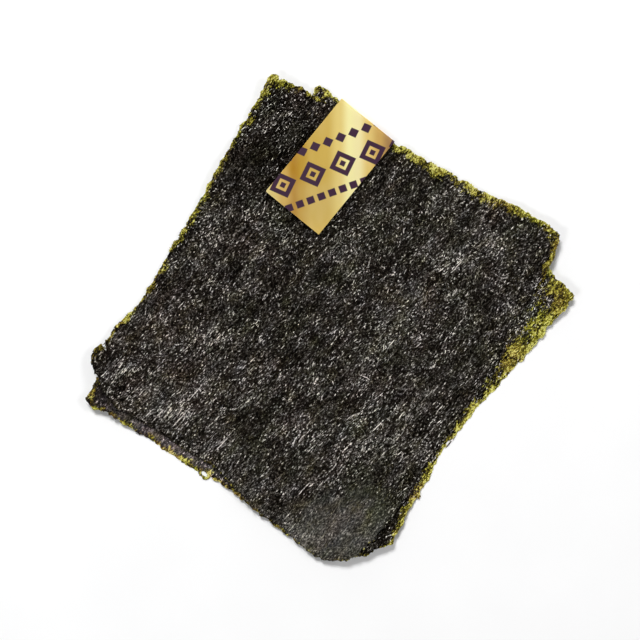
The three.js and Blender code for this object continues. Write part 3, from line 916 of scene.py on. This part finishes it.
def shred_object(name, sheet, material, rng, x, y, heading, length, width, height, bends, tone, tilt=0.0, hue_spread=0.34, change=None, inside_only=True):
    n = len(x)
    if inside_only:
        # A shred whose end would stick out past the torn edge is cut short.
        reach = np.minimum(*(sheet.inside(x + s * np.cos(heading) * length / 2, y + s * np.sin(heading) * length / 2) for s in (-1, 1)))
        length = np.where(reach < 0.25, np.minimum(length, 1.4), length)
        bends = np.where((reach < 0.25)[:, None], 0.0, bends)
    verts, tris, per = sliver_mesh(x, y, heading, length, width, height, bends, rng.uniform(-0.8, 0.8, n), tilt, sheet.top)
    looks = sheet.looks(x, y)
    looks["tone"] = looks["tone"] + tone * (1 - 0.66 * looks["calm"]) * (1 - 0.4 * sheet.haze(x, y)) * (1 + 0.22 * np.clip(sheet.o(N_LIVELY)(x, y), -2, 2))
    looks["hue"] = looks["hue"] + rng.normal(0, hue_spread, n)
    # Dark shreds lie scattered over the fringe, more of them towards the middle.
    dark = rng.uniform(0, 1, n) < 0.01 + 0.46 * (1 - looks["fringe"])
    looks["tone"] = looks["tone"] - np.where(dark, 0.9 * smooth(0.05, 0.4, looks["fringe"]), 0.0)
    looks["fringe"] = np.where(dark, 0.0, looks["fringe"])
    if change:
        change(looks)
    obj = make_object(name, verts, tris, {k: np.repeat(v, per) for k, v in looks.items()}, material, flat_from=0)
    # Map: a small cell for each shred, which lies lengthwise in it.
    rings = (per - 2) // 3
    aspect = 2 if rings == 1 else 4
    rows = math.ceil(math.sqrt(n * aspect))
    cols = math.ceil(n / rows)
    where = [(0.0, 0.5), (1.0, 0.5)]
    for r in range(rings):
        s = ((r + 1) / (rings + 1) * 2 - 1) * (0.82 if rings > 1 else 1)
        where += [((s + 1) / 2, v) for v in (1.0, 0.5, 0.0)]
    inset = 1 / 1024
    size = np.array([1 / cols, 1 / rows])
    low = np.stack([np.arange(n) % cols, np.arange(n) // cols], 1) * size + inset
    give_map(obj, (low[:, None] + np.array(where)[None] * (size - 2 * inset)).reshape(-1, 2)[tris])
    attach(obj, "root")
    print(name, n, "shreds", len(tris), "triangles")
    return obj


def uneven_tones(rng, middle, spread, count):
    """Tones of single shreds: most are alike, a few much paler or darker."""
    return middle + spread * 0.72 * np.clip(rng.standard_t(3.2, count), -4.5, 4.5)


def combed(x, y):
    """1 where the blades lie straight and parallel, mostly in the lower half."""
    return np.clip(smooth(20, -55, y + 14 * N_PATCH(x, y)), 0, 1)


def grain_heading(sheet, rng, x, y, spread, wild):
    """Headings that follow the grain, which swings a little from patch to patch."""
    comb = combed(x, y)
    h = GRAIN + (0.26 - 0.18 * comb) * sheet.o(N_TURN)(x, y) + rng.normal(0, 1, len(x)) * spread * (1 - 0.5 * comb)
    return np.where(rng.uniform(0, 1, len(x)) < wild * (1 - 0.7 * comb), rng.uniform(0, math.pi, len(x)), h)


def on_front(x, y):
    ok = (front.inside(x, y) > 0.7) & ~under_band(x, y, 0.4)
    like = 0.62 + 0.2 * front.o(N_BLOTCH)(x + 31, y)
    return np.where(ok, np.clip(like, 0.15, 1) * (1 - 0.75 * front.calm(x, y)), 0)


def on_rear(x, y):
    ok = (rear.inside(x, y) > 0.7) & (front.shape(x, y) < 3.0) & ~under_band(x, y, 0.4)
    return np.where(ok, 0.9 * (1 - 0.95 * rear.calm(x, y)) * (1 - 0.8 * spots([(380, 530, 8, 1.0)], x, y)), 0)


rng = np.random.default_rng(401)

COUNT = 16000
x, y = scatter(rng, front, COUNT, on_front)
length = (rng.gamma(2.5, 0.95, COUNT) + 1.2) * (0.8 + 0.45 * combed(x, y))
shred_object("front_shreds_long", front, front_shred, rng, x, y, grain_heading(front, rng, x, y, 0.22, 0.10),
             length, rng.uniform(0.42, 0.72, COUNT), rng.uniform(0.08, 0.28, COUNT),
             rng.normal(0, 0.035, (COUNT, 2)) * length[:, None], uneven_tones(rng, 0.0, 1.25, COUNT))

COUNT = 31000
x, y = scatter(rng, front, COUNT, on_front)
shred_object("front_shreds_short", front, front_shred, rng, x, y, grain_heading(front, rng, x, y, 0.40, 0.20),
             rng.gamma(4.0, 0.26, COUNT) + 0.8, rng.uniform(0.46, 0.84, COUNT), rng.uniform(0.08, 0.28, COUNT),
             rng.normal(0, 0.05, (COUNT, 1)), uneven_tones(rng, -0.2, 1.45, COUNT))

# Patches of longer, straighter and paler shreds: place (px, py), half size along
# and across the grain in mm, heading, how many, and length.
STREAKS = [
    (121, 371, 5.5, 9.0, 49, 26, 9.0), (166, 409, 6.0, 7.5, 48, 20, 8.0), (187, 418, 5.0, 4.0, 47, 10, 7.0), (250, 399, 6.0, 1.2, 46, 4, 12.0),
    (120, 336, 4.0, 5.0, 50, 10, 6.0), (214, 334, 5.0, 6.0, 52, 18, 6.5), (150, 330, 5.0, 6.0, 48, 10, 6.0), (150, 385, 6.0, 9.0, 47, 14, 7.0),
    (492, 246, 5.0, 6.0, 44, 20, 7.0), (455, 268, 7.0, 5.0, 40, 16, 6.0), (415, 292, 6.0, 8.0, 35, 16, 5.5), (470, 300, 6.0, 6.0, 20, 12, 5.0),
    (384, 340, 7.0, 6.0, 46, 14, 6.0), (440, 235, 6.0, 8.0, 48, 16, 7.0), (395, 205, 6.0, 7.0, 48, 12, 6.0), (310, 330, 7.0, 8.0, 47, 14, 6.5),
    (290, 470, 8.0, 9.0, 46, 16, 7.0), (355, 440, 8.0, 9.0, 45, 14, 7.0), (220, 440, 8.0, 7.0, 46, 16, 8.0), (270, 270, 7.0, 7.0, 50, 12, 5.5),
    (345, 265, 7.0, 7.0, 46, 12, 5.5), (430, 380, 7.0, 7.0, 44, 12, 6.0), (325, 485, 8.0, 5.0, 44, 10, 7.0), (260, 125, 5.0, 5.0, 50, 10, 5.0),
]
parts = []
for px, py, half_along, half_across, turn, n, longest in STREAKS:
    cx, cy = pl(px, py)
    a, b = rng.uniform(-half_along, half_along, n), rng.uniform(-half_across, half_across, n)
    h = math.radians(turn)
    parts.append(np.column_stack([cx + a * math.cos(h) - b * math.sin(h), cy + a * math.sin(h) + b * math.cos(h),
                                  h + rng.normal(0, 0.07, n), longest * rng.uniform(0.45, 1.1, n)]))
x, y, h, length = np.concatenate(parts).T
keep = (front.inside(x, y) > 1.5) & ~under_band(x, y, 3.0)
x, y, h, length = x[keep], y[keep], h[keep], length[keep]
COUNT = len(x)
shred_object("front_streaks", front, front_shred, rng, x, y, h, length, rng.uniform(0.42, 0.72, COUNT),
             rng.uniform(0.18, 0.34, COUNT), rng.normal(0, 0.012, (COUNT, 4)) * length[:, None], rng.normal(1.5, 0.55, COUNT), hue_spread=0.3)

# Single long pale strokes, from and to by pixel, and lines of short pale shreds.
STROKES = [
    (104, 383, 119, 363), (107, 384, 121, 365), (110, 383, 124, 362), (114, 381, 127, 364), (118, 379, 129, 364), (122, 376, 133, 361),
    (151, 423, 166, 407), (155, 425, 176, 398), (160, 422, 174, 405), (164, 424, 179, 408), (143, 419, 153, 409), (171, 428, 187, 411),
    (176, 433, 189, 420), (168, 400, 180, 388), (186, 402, 203, 384), (236, 414, 262, 385), (206, 430, 222, 413), (214, 452, 229, 437),
    (262, 478, 276, 462), (283, 489, 299, 471), (296, 497, 312, 480), (322, 480, 338, 463), (250, 452, 264, 438), (305, 455, 321, 439),
    (295, 542, 306, 528), (300, 541, 309, 529), (306, 539, 314, 529), (312, 535, 320, 525), (288, 532, 296, 523), (320, 540, 327, 531),
    (300, 523, 307, 514), (284, 520, 292, 510), (330, 522, 337, 514), (347, 512, 353, 505), (340, 455, 352, 442), (372, 432, 386, 418), (213, 344, 222, 333), (205, 340, 214, 330), (138, 340, 147, 330),
]
lines = np.array([pl(a, b) + pl(c, d) for a, b, c, d in STROKES])
lines = lines[(front.inside(lines[:, 0], lines[:, 1]) > 0.6) & (front.inside(lines[:, 2], lines[:, 3]) > 0.6)]
x, y = (lines[:, 0] + lines[:, 2]) / 2, (lines[:, 1] + lines[:, 3]) / 2
COUNT = len(x)
length = np.hypot(lines[:, 2] - lines[:, 0], lines[:, 3] - lines[:, 1])
shred_object("front_strokes", front, front_shred, rng, x, y, np.arctan2(lines[:, 3] - lines[:, 1], lines[:, 2] - lines[:, 0]),
             length, rng.uniform(0.60, 0.76, COUNT), rng.uniform(0.30, 0.40, COUNT), rng.normal(0, 0.008, (COUNT, 5)) * length[:, None],
             rng.normal(2.7, 0.25, COUNT), hue_spread=0.2)
RIPPLES = [
    ([(455, 262), (466, 262), (478, 268), (495, 282), (515, 298)], 60), ([(448, 296), (462, 288), (478, 282), (492, 284)], 40),
    ([(470, 362), (485, 358), (500, 366)], 28), ([(400, 318), (418, 302), (440, 290)], 36), ([(352, 372), (372, 352), (388, 338)], 34),
    ([(470, 250), (486, 244), (502, 240)], 26), ([(108, 386), (116, 401), (126, 410), (140, 417), (150, 423)], 46),
    ([(300, 168), (312, 178), (322, 190)], 16), ([(262, 300), (276, 292), (290, 288)], 18), ([(205, 352), (214, 340), (224, 330)], 20),
]
parts = []
for points, n in RIPPLES:
    points = np.array([pl(*p) for p in points])
    walked = np.concatenate([[0], np.cumsum(np.hypot(*np.diff(points, axis=0).T))])
    at = rng.uniform(0, walked[-1], n)
    parts.append(np.column_stack([np.interp(at, walked, points[:, 0]) + rng.normal(0, 0.7, n), np.interp(at, walked, points[:, 1]) + rng.normal(0, 0.7, n)]))
x, y = np.concatenate(parts).T
COUNT = len(x)
shred_object("front_ripples", front, front_shred, rng, x, y, grain_heading(front, rng, x, y, 0.4, 0.1),
             rng.uniform(1.4, 3.2, COUNT), rng.uniform(0.45, 0.7, COUNT), rng.uniform(0.20, 0.34, COUNT), rng.normal(0, 0.08, (COUNT, 1)),
             rng.normal(1.7, 0.6, COUNT), hue_spread=0.2)

# Long thin bent fibres that wander over the blades, and small bright flecks whose pale colour is painted glints.
COUNT = 420
x, y = scatter(rng, front, COUNT, on_front)
length = rng.uniform(5.0, 15.0, COUNT)
arc = 1 - np.linspace(-0.82, 0.82, 5) ** 2
shred_object("front_fibres", front, front_shred, rng, x, y, grain_heading(front, rng, x, y, 0.7, 0.35), length,
             rng.uniform(0.38, 0.56, COUNT), rng.uniform(0.20, 0.34, COUNT),
             (rng.normal(0, 0.12, COUNT) * length)[:, None] * arc, rng.normal(1.0, 0.6, COUNT), hue_spread=0.2)
COUNT = 1900
x, y = scatter(rng, front, COUNT, lambda x, y: on_front(x, y) * (1 - front.calm(x, y)))
shred_object("front_glint_flecks", front, front_shred, rng, x, y, grain_heading(front, rng, x, y, 0.5, 0.3),
             rng.uniform(1.0, 1.9, COUNT), rng.uniform(0.55, 0.85, COUNT), rng.uniform(0.22, 0.36, COUNT),
             np.zeros((COUNT, 1)), rng.normal(2.85, 0.5, COUNT), hue_spread=0.15)


def edge_hairs(name, sheet, edge, material, count):
    """Short hairs of seaweed that stand out from the torn edge."""
    xy, rim = edge
    a, b = xy[rim[:, 0]], xy[rim[:, 1]]
    along = b - a
    size = np.hypot(*along.T)
    pick = rng.choice(len(rim), count, p=size / size.sum())
    t = rng.uniform(0, 1, count)[:, None]
    p = a[pick] * (1 - t) + b[pick] * t
    out = np.stack([along[pick, 1], -along[pick, 0]], 1) / size[pick, None]
    inner = sheet.inside(p[:, 0] + out[:, 0] * 0.8, p[:, 1] + out[:, 1] * 0.8) > 0
    out[inner] *= -1
    u, v = band_place(p[:, 0], p[:, 1])
    keep = (u > 6) | (np.abs(v) > 24)
    p, out = p[keep], out[keep]
    n = len(p)
    lean = rng.uniform(-1.25, 1.25, n)
    h = np.arctan2(out[:, 1], out[:, 0]) + lean
    length = rng.uniform(0.6, 1.25, n)
    x, y = p[:, 0] - out[:, 0] * 0.1 + np.cos(h) * length * 0.18, p[:, 1] - out[:, 1] * 0.1 + np.sin(h) * length * 0.18
    shred_object(name, sheet, material, rng, x, y, h, length, rng.uniform(0.34, 0.6, n), rng.uniform(0.05, 0.12, n),
                 np.zeros((n, 1)), rng.normal(0.0, 0.9, n), inside_only=False)


edge_hairs("front_edge_hairs", front, front_edge, front_shred, 460)
edge_hairs("rear_edge_hairs", rear, rear_edge, rear_shred, 440)


def bare_fibre(looks):
    looks["fringe"][:] = 0
    looks["rim"][:] = 0
    looks["tone"][:] = 1.75
    looks["hue"][:] = 0.5


# One loose fibre beside the lower right edge.
cx, cy = pl(450.6, 443.0)
shred_object("loose_fibre", rear, rear_shred, rng, np.array([cx]), np.array([cy]), np.array([math.radians(48)]),
             np.array([9.6]), np.array([0.85]), np.array([0.16]), np.array([[0.0, 0.15, 0.2, 0.1]]), np.array([0.0]), hue_spread=0.0, change=bare_fibre, inside_only=False)

COUNT = 9000
x, y = scatter(rng, rear, COUNT, on_rear)
shred_object("rear_shreds", rear, rear_shred, rng, x, y, grain_heading(rear, rng, x, y, 0.4, 0.2),
             rng.gamma(4.0, 0.34, COUNT) + 0.9, rng.uniform(0.50, 0.95, COUNT), rng.uniform(0.06, 0.20, COUNT),
             rng.normal(0, 0.05, (COUNT, 1)), uneven_tones(rng, -0.2, 1.8, COUNT))

# ------------------------------------------------------------------ band
def band_profile(steps_leaf, steps_fold):
    """Middle line of the folded paper: distance from the fold, height, length walked."""
    half = BAND_THICKNESS / 2
    top_of_front = BAND_SHEET_HEIGHT + 2 * SHEET_THICKNESS + PLY_GAP
    low_z = half
    high_z = top_of_front + BAND_CLEARANCE + half
    r = (high_z - low_z) / 2
    centre = r + half
    pts = []
    for k in range(steps_leaf + 1):
        pts.append((BAND_LENGTH - (BAND_LENGTH - centre) * k / steps_leaf, low_z))
    for k in range(1, steps_fold):
        a = math.pi * k / steps_fold
        pts.append((centre - r * math.sin(a), low_z + r - r * math.cos(a)))
    for k in range(steps_leaf + 1):
        s = k / steps_leaf
        pts.append((centre + (BAND_LENGTH - centre) * s, high_z + BAND_SPRING * s * s * (1.5 - 0.5 * s)))
    return np.array(pts)


PRINT_TURN = math.radians(20.0)


def band_material():
    t = Tree("gold_foil_face")
    uv = t.node("ShaderNodeUVMap", uv_map="face")
    sep = t.node("ShaderNodeSeparateXYZ")
    t.put(sep.inputs[0], uv.outputs[0])
    x, y = sep.outputs[0], sep.outputs[1]      # picture-wise place on the leaf, mm
    # Soft upright bands of tone over the foil's gold are painted reflections: a pale highlight band, and a brown right
    # end painted darker in the shade by the fold.
    gold = t.ramp(t.span(x, -38.0, 39.0), [
        (0.00, lin(238, 222, 158)),
        (0.06, lin(228, 204, 122)),
        (0.14, lin(208, 166, 70)),
        (0.22, lin(181, 131, 28)),
        (0.28, lin(193, 152, 52)),
        (0.36, lin(206, 172, 77)),
        (0.46, lin(211, 177, 84)),
        (0.56, lin(234, 208, 120)),
        (0.64, lin(255, 246, 172)),
        (0.70, lin(253, 240, 174)),
        (0.78, lin(233, 200, 106)),
        (0.86, lin(205, 158, 62)),
        (0.93, lin(164, 117, 56)),
        (1.00, lin(138, 96, 54)),
    ], "EASE")
    soft = t.noise(t.place(0.0, (1 / 14, 1 / 40, 1)), 2.0, 0.5)
    gold = t.mix(t.span(soft, 0.35, 0.65, 0.0, 0.14), gold, (1.0, 0.86, 0.50), "MIX")
    # A plain plum print in three slanting rows: small lozenges, large rings of
    # lozenges, and short bars.
    a = t.math("ADD", t.math("MULTIPLY", x, math.cos(PRINT_TURN)), t.math("MULTIPLY", y, math.sin(PRINT_TURN)))
    b = t.math("SUBTRACT", t.math("MULTIPLY", y, math.cos(PRINT_TURN)), t.math("MULTIPLY", x, math.sin(PRINT_TURN)))

    def lozenge(pitch, shift, row, half_a, half_b):
        along = t.math("FRACT", t.math("ADD", t.math("MULTIPLY", t.math("ADD", a, shift), 1 / pitch), 20.0))
        along = t.math("MULTIPLY", t.math("ABSOLUTE", t.math("SUBTRACT", along, 0.5)), pitch / half_a)
        across = t.math("MULTIPLY", t.math("ABSOLUTE", t.math("SUBTRACT", b, row)), 1 / half_b)
        return t.math("ADD", along, across), half_b

    def fill(shape, edge=1.0):
        value, half_b = shape
        soft_edge = 0.16 / half_b
        return t.span(value, edge + soft_edge, edge - soft_edge)

    big = lozenge(18.4, 2.0, -0.8, 8.3, 8.0)
    ring = t.math("MULTIPLY", fill(big), t.math("SUBTRACT", 1.0, fill(big, 0.53)))
    heart = fill(big, 0.26)
    small = fill(lozenge(7.9, 0.5, 13.8, 3.4, 3.2))
    bar_along = t.math("FRACT", t.math("ADD", t.math("MULTIPLY", t.math("ADD", a, 1.0), 1 / 6.6), 20.0))
    bar_along = t.math("MULTIPLY", t.math("ABSOLUTE", t.math("SUBTRACT", bar_along, 0.5)), 6.6)
    bar_across = t.math("ABSOLUTE", t.math("ADD", b, 14.6))
    bars = t.math("MULTIPLY", t.span(bar_along, 2.36, 2.04), t.span(bar_across, 2.26, 1.94))
    ink = t.math("MAXIMUM", t.math("MAXIMUM", ring, heart), t.math("MAXIMUM", small, bars))
    gold = t.mix(ink, gold, lin(50, 18, 46))
    bsdf = t.node("ShaderNodeBsdfPrincipled")
    t.put(bsdf.inputs["Base Color"], gold)
    t.put(bsdf.inputs["Metallic"], t.span(ink, 0.0, 1.0, 0.45, 0.0))
    bsdf.inputs["Roughness"].default_value = 0.34
    t.tree.links.new(bsdf.outputs[0], t.out.inputs[0])
    return t.material


def paper_material():
    t = Tree("band_paper")
    grain = t.noise(t.place(0.0, (2.2, 2.2, 2.2)), 3.0, 0.6)
    colour = t.mix(t.span(grain, 0.3, 0.7), lin(226, 219, 204), lin(240, 235, 224))
    bsdf = t.node("ShaderNodeBsdfPrincipled")
    t.put(bsdf.inputs["Base Color"], colour)
    bsdf.inputs["Roughness"].default_value = 0.8
    t.tree.links.new(bsdf.outputs[0], t.out.inputs[0])
    return t.material


def band_object():
    profile = band_profile(60, 18)
    # A very narrow last row keeps the shading flat up to the cut edges.
    near = [profile[0] + (profile[1] - profile[0]) * 0.03, profile[-1] + (profile[-2] - profile[-1]) * 0.03]
    profile = np.vstack([profile[:1], near[:1], profile[1:-1], near[1:], profile[-1:]])
    d = np.gradient(profile, axis=0)
    d /= np.hypot(*d.T)[:, None]
    normal = np.stack([-d[:, 1], d[:, 0]], 1)     # towards the inside of the fold
    across = np.linspace(-BAND_WIDTH / 2, BAND_WIDTH / 2, 41)
    across = np.concatenate([across[:1], across[:1] + 0.03, across[1:-1], across[-1:] - 0.03, across[-1:]])
    half = 0.11
    m, n = len(profile), len(across)
    U, V = np.meshgrid(np.arange(m), across, indexing="ij")
    base_u, base_z = profile[U, 0], profile[U, 1]
    leaf = smooth(6, 40, base_u) * (base_z > 1.8)
    # The paper is not quite flat.
    wave = leaf * (0.16 * np.sin(base_u / 11.0 + 0.06 * V) + 0.12 * np.sin(V / 7.0 + base_u / 23.0))
    lift = (base_z > 1.8) * 0.55 * np.clip((base_u - 52) / 18, 0, 1) ** 2 * (V / 19.8) ** 2
    z = base_z + wave * 0.8 + lift
    faces, verts = [], []
    for side in (1, -1):
        verts.append(np.stack([base_u + side * half * normal[U, 0], V, z + side * half * normal[U, 1]], -1).reshape(-1, 3))
    verts = np.concatenate(verts)
    idx = np.arange(m * n).reshape(m, n)
    a, b, c, e = idx[:-1, :-1].ravel(), idx[1:, :-1].ravel(), idx[1:, 1:].ravel(), idx[:-1, 1:].ravel()
    inner = np.concatenate([np.stack([a, b, c], 1), np.stack([a, c, e], 1)])
    outer = np.concatenate([np.stack([a, c, b], 1), np.stack([a, e, c], 1)]) + m * n
    ring = np.concatenate([idx[:-1, 0], idx[-1, :-1], idx[:0:-1, -1], idx[0, :0:-1]])
    nxt = np.roll(ring, -1)
    walls = np.concatenate([np.stack([ring, nxt + m * n, nxt], 1), np.stack([ring, ring + m * n, nxt + m * n], 1)])
    tris = np.concatenate([inner, outer, walls])
    u, v, zz = verts.T
    world = np.column_stack([
        BAND_FOLD[0] + u * BAND_DIR[0] + v * BAND_SIDE[0],
        BAND_FOLD[1] + u * BAND_DIR[1] + v * BAND_SIDE[1],
        np.maximum(zz, 0.0),
    ])
    w = world[tris]
    if np.einsum("ij,ij->i", w[:, 0], np.cross(w[:, 1], w[:, 2])).sum() < 0:
        tris = tris[:, ::-1]
    obj = make_object("gold_band", world, tris, {}, band_face, flat_from=len(inner) + len(outer))
    obj.data.materials.append(band_paper)
    index = np.ones(len(tris), np.int32)
    index[:len(inner)] = 0
    obj.data.polygons.foreach_set("material_index", index)
    layer = obj.data.uv_layers.new(name="face")
    loop_vertex = np.empty(len(obj.data.loops), np.int32)
    obj.data.loops.foreach_get("vertex_index", loop_vertex)
    # Map of the paper: the upper leaf large, then the rear leaf, the inner side and the edges.
    walked = np.concatenate([[0], np.cumsum(np.hypot(*np.diff(profile, axis=0).T))])
    place = np.stack([walked[U].ravel(), V.ravel() + BAND_WIDTH / 2], 1)
    place = np.concatenate([place, place])
    total, split = walked[-1], walked[-1] - BAND_LENGTH - 5.0
    corners = np.zeros((len(tris), 3, 2))
    shown = slice(0, len(inner))
    hidden = slice(len(inner), 2 * len(inner))
    on = place[tris[shown]]
    is_upper = (on[:, :, 0].mean(1) > split)[:, None, None]
    corners[shown] = np.where(is_upper, (on - [split, 0]) * 0.985 / (total - split + 1) + [0.005, 0.005],
                              on * 0.42 / (split + 2) + [0.005, 0.56])
    corners[hidden] = place[tris[hidden]] * 0.53 / total + [0.46, 0.56]
    cell, size = in_cells(len(ring), (0.46, 0.74), (0.995, 0.995))
    edge = size * 0.12
    box = [cell + edge, cell + [size[0] - edge[0], edge[1]], cell + size - edge, cell + [edge[0], size[1] - edge[1]]]
    corners[2 * len(inner):] = np.concatenate([np.stack([box[0], box[2], box[1]], 1), np.stack([box[0], box[3], box[2]], 1)])
    give_map(obj, corners)
    cx, cy = pl(330.5, 166.5)
    layer = obj.data.uv_layers["face"]
    layer.data.foreach_set("uv", np.column_stack([world[loop_vertex, 0] - cx, world[loop_vertex, 1] - cy]).astype(np.float32).ravel())
    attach(obj, "root")
    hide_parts("foil_band")
    return obj


band_face = band_material()
band_paper = paper_material()
band_object()

# ------------------------------------------------------------------ floor, light, camera
floor_tree = Tree("pale_floor")
grain = floor_tree.noise(floor_tree.place(0.0, (1 / 60, 1 / 60, 1)), 2.0, 0.5)
floor_bsdf = floor_tree.node("ShaderNodeBsdfPrincipled")
floor_tree.put(floor_bsdf.inputs["Base Color"], floor_tree.mix(floor_tree.span(grain, 0.3, 0.7), (0.88, 0.88, 0.88), (0.90, 0.90, 0.90)))
floor_bsdf.inputs["Roughness"].default_value = 0.9
floor_bsdf.inputs["Specular IOR Level"].default_value = 0.1
# Far from the object the floor runs over into the pale background.
far = floor_tree.node("ShaderNodeVectorMath", operation="LENGTH")
floor_tree.put(far.inputs[0], floor_tree.node("ShaderNodeTexCoord").outputs["Object"])
backdrop = floor_tree.node("ShaderNodeEmission")
backdrop.inputs["Color"].default_value = (0.92, 0.92, 0.92, 1.0)
blend = floor_tree.node("ShaderNodeMixShader")
floor_tree.put(blend.inputs[0], floor_tree.span(far.outputs["Value"], 0.5, 1.8, kind="SMOOTHSTEP"))
floor_tree.put(blend.inputs[1], floor_bsdf.outputs[0])
floor_tree.put(blend.inputs[2], backdrop.outputs[0])
floor_tree.tree.links.new(blend.outputs[0], floor_tree.out.inputs[0])
floor = make_object("floor", np.array([(-9000, -9000, -0.05), (9000, -9000, -0.05), (9000, 9000, -0.05), (-9000, 9000, -0.05)]),
                    np.array([(0, 1, 2), (0, 2, 3)]), {}, floor_tree.material, raw=True)

world = bpy.data.worlds.new("studio")
scene.world = world
world.use_nodes = True
wt = world.node_tree
wt.nodes.clear()
w_out = wt.nodes.new("ShaderNodeOutputWorld")
w_bg = wt.nodes.new("ShaderNodeBackground")
w_tc = wt.nodes.new("ShaderNodeTexCoord")
w_sep = wt.nodes.new("ShaderNodeSeparateXYZ")
w_ramp = wt.nodes.new("ShaderNodeValToRGB")
wt.links.new(w_tc.outputs["Generated"], w_sep.inputs[0])
wt.links.new(w_sep.outputs[2], w_ramp.inputs[0])
w_ramp.color_ramp.elements[0].position = 0.0
w_ramp.color_ramp.elements[0].color = (0.92, 0.92, 0.92, 1)
w_ramp.color_ramp.elements[1].position = 0.55
w_ramp.color_ramp.elements[1].color = (0.08, 0.08, 0.082, 1)
wt.links.new(w_ramp.outputs[0], w_bg.inputs[0])
w_bg.inputs[1].default_value = 1.0
wt.links.new(w_bg.outputs[0], w_out.inputs[0])


def softbox(name, azimuth, elevation, distance, size, power):
    """An area light that looks at the middle of the object. Azimuth is its heading from there."""
    a, e = math.radians(azimuth), math.radians(elevation)
    light = bpy.data.lights.new(name, "AREA")
    light.shape = "RECTANGLE"
    light.size, light.size_y = size
    light.energy = power
    obj = bpy.data.objects.new(name, light)
    obj.location = (distance * math.cos(a) * math.cos(e), distance * math.sin(a) * math.cos(e), distance * math.sin(e))
    obj.rotation_euler = (-Vector(obj.location)).to_track_quat("-Z", "Y").to_euler()
    scene.collection.objects.link(obj)
    return obj


softbox("key", 108, 50, 3.0, (1.0, 0.8), 82)
softbox("side", 10, 38, 3.2, (1.0, 0.8), 25)
softbox("low", 215, 42, 3.2, (1.0, 0.8), 25)

camera = bpy.data.cameras.new("camera")
camera.lens = 85
camera.sensor_width = 36
camera.dof.use_dof = False
camera_obj = bpy.data.objects.new("camera", camera)
scene.collection.objects.link(camera_obj)
cx, cy = pl(320, 320)
camera_obj.location = ((cx + SHIFT[0]) / 1000, (cy + SHIFT[1]) / 1000, 0.8764 + 0.0025)
camera_obj.rotation_euler = (0, 0, 0)
camera.clip_start, camera.clip_end = 0.05, 30
scene.camera = camera_obj
